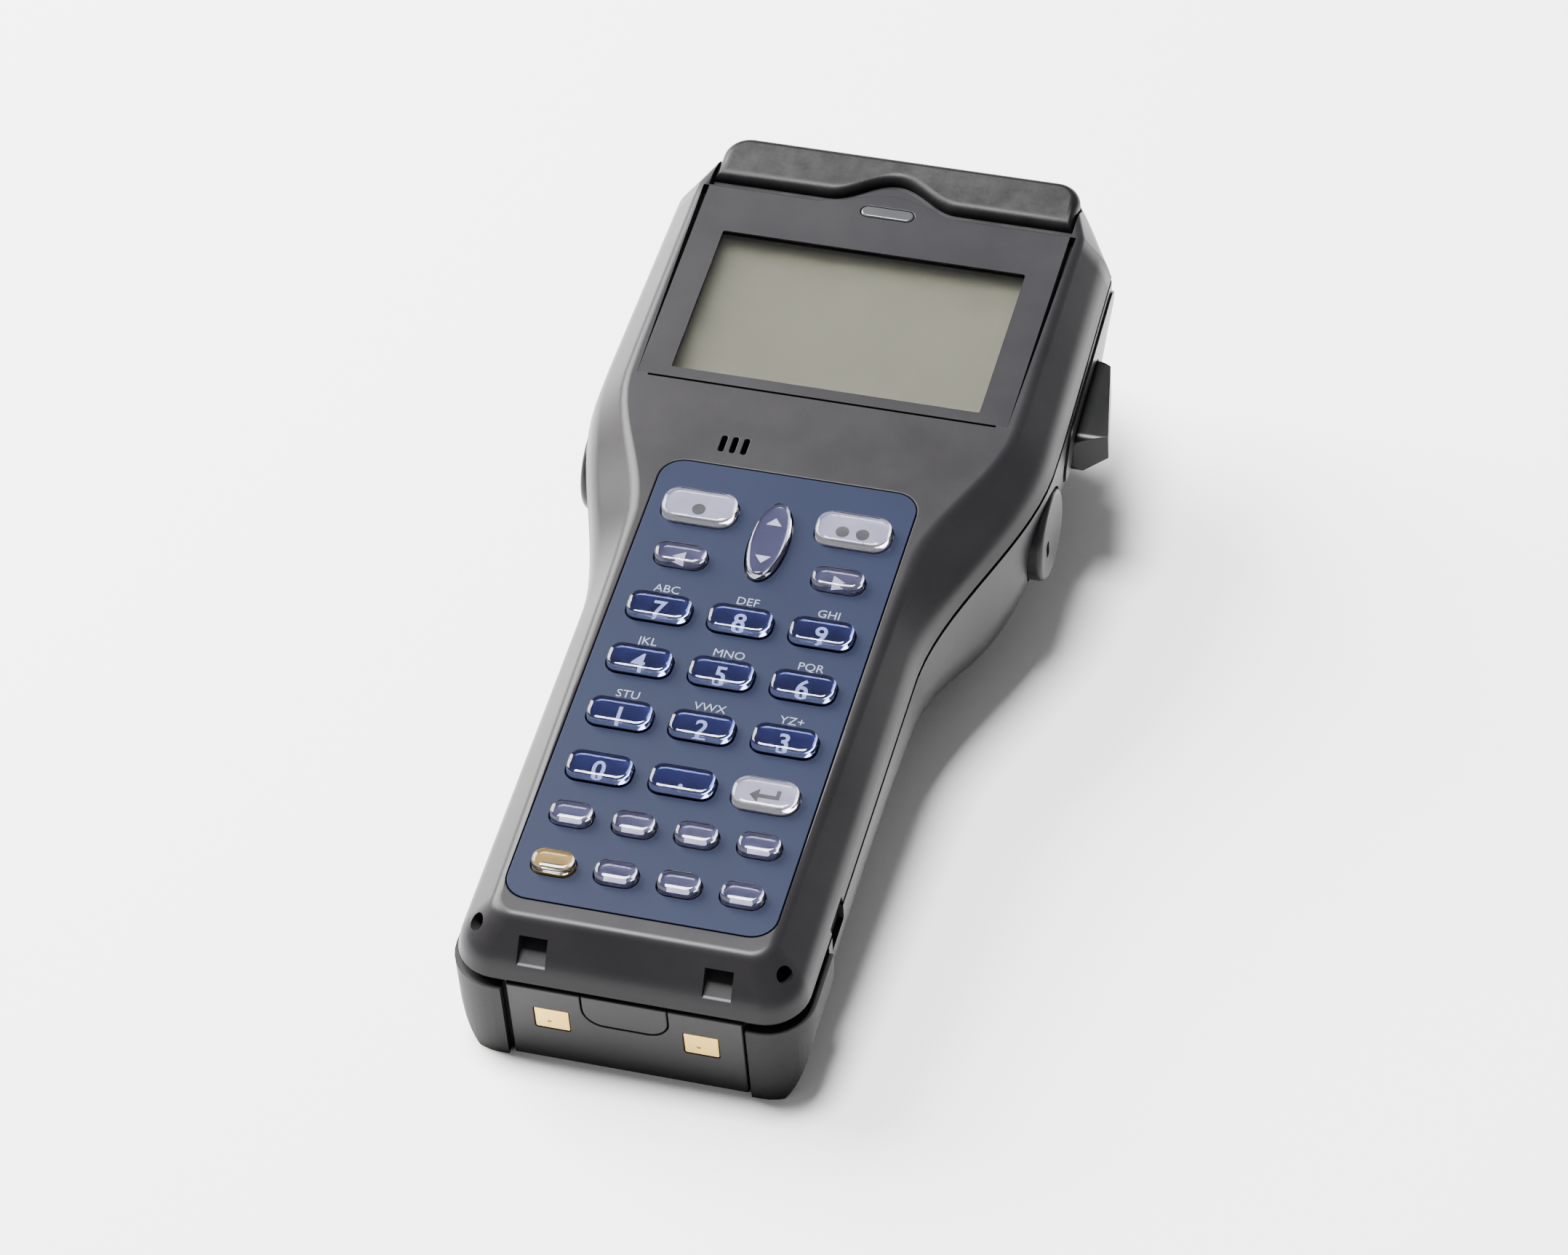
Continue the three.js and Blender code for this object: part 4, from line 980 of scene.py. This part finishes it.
# ---------------------------------------------------------------------------------------------
# Battery pack. A grey ABS tray that slides into the bay from the lower end. Its end panel carries
# two gold-plated contacts and a U-shaped latch that presses in.
# ---------------------------------------------------------------------------------------------
pack_plastic = moulded("pack_plastic", (0.0135, 0.0128, 0.0138), (0.0165, 0.0156, 0.0165),
                       0.4, 0.4, 0.01, specular=0.22)
PACK_UNDER = -24.5
TRAY_WALL = 1.4
LATCH = dict(half=6.1, low=-14.5, high=-8.7, radius=3.0)
STEM = dict(half=3.2, low=-14.1, high=-12.9)
CONTACT = dict(x=10.7, z=-15.0, half=2.5, rise=2.1)


def latch_shape(spare):
    half, low, radius = LATCH["half"] + spare, LATCH["low"] - spare, LATCH["radius"] + spare
    turns = [math.radians(i * 10) for i in range(10)]
    foot = [(half - radius + radius * math.cos(a), low + radius - radius * math.sin(a)) for a in turns]
    top = LATCH["high"] + spare
    return [(half, top)] + foot + [(-x, z) for x, z in foot[::-1]] + [(-half, top)]


def contact_shape(side):
    x = side * CONTACT["x"]
    return rounded(x - CONTACT["half"], x + CONTACT["half"], CONTACT["z"] - CONTACT["rise"],
                   CONTACT["z"] + CONTACT["rise"], 0.3, 4)


inner = PACK_HALF - TRAY_WALL
tray = block(-PACK_HALF, PACK_HALF, END + 1.5, 2, PACK_UNDER, BAY_ROOF - GAP)
panel_end = plate(rounded(-PACK_HALF, PACK_HALF, -25.5, -8.7, 0.25, 4), END + 2, END, 0.3, "y")
combine(tray, [panel_end], "UNION")
cuts = [block(-inner, inner, END + 3.4, 0.6, -22.9, 0),
        pocket(latch_shape, END + 2.4, END, 0.15, GAP * 0.7, "y"),
        block(-STEM["half"] - GAP, STEM["half"] + GAP, END + 2, END + 5,
              STEM["low"] - GAP, STEM["high"] + GAP)]
for side in (-1, 1):
    groove = block(PACK_HALF - RAIL["reach"], 30, END + 2, 20, RAIL["low"] - GAP, RAIL["high"] + GAP)
    cuts.append(handed(groove, side))
    cuts.append(pocket(contact_shape(side), END + 1, END, 0.15, 0.08, "y"))
combine(tray, cuts)
combine(tray, [table_block()])
fit(tray, "battery_tray", "battery_pack", "pack_plastic", pack_plastic, "battery_case")

latch = plate(latch_shape, END + 1.2, END, 0.25, "y")
stem = block(-STEM["half"], STEM["half"], END + 1, END + 4.6, STEM["low"], STEM["high"])
combine(latch, [stem], "UNION")
fit(latch, "latch_button", "battery_latch", "pack_plastic", pack_plastic, "battery_latch")

gold = moulded("contact_gold", (0.74, 0.5, 0.14), (0.82, 0.57, 0.18),
               0.3, 0.6, 0.01, patch=2.5, metal=1.0)
for label, side in (("left", -1), ("right", 1)):
    contact = plate(contact_shape(side), END + 0.7, END + 0.05, 0.2, "y")
    worn_spot = Matrix.Translation((side * CONTACT["x"] - 0.4, END + 0.05, CONTACT["z"] - 0.4))
    dimple = moved(drum(0.35, -0.12, 2), worn_spot @ Matrix.Rotation(math.pi / 2, 4, "X"))
    combine(contact, [dimple])
    fit(contact, "gold_pad_" + label, "battery_pack", "gold_contact", gold, "charge_contact_" + label)


# ---------------------------------------------------------------------------------------------
# Case screws. Blackened steel screws with slotted heads, sunk in the back of the grip on both sides
# of the bay; they pull the rear case up against the front case and the gasket.
# ---------------------------------------------------------------------------------------------
black_steel = moulded("black_steel", (0.06, 0.06, 0.065), (0.1, 0.1, 0.105),
                      0.35, 0.3, 0.01, patch=2, metal=1.0)
for number in range(1, 5):
    screw = frame["nodes"]["case_screw_" + str(number)]
    screw.data.materials.clear()
    screw.data.materials.append(black_steel)
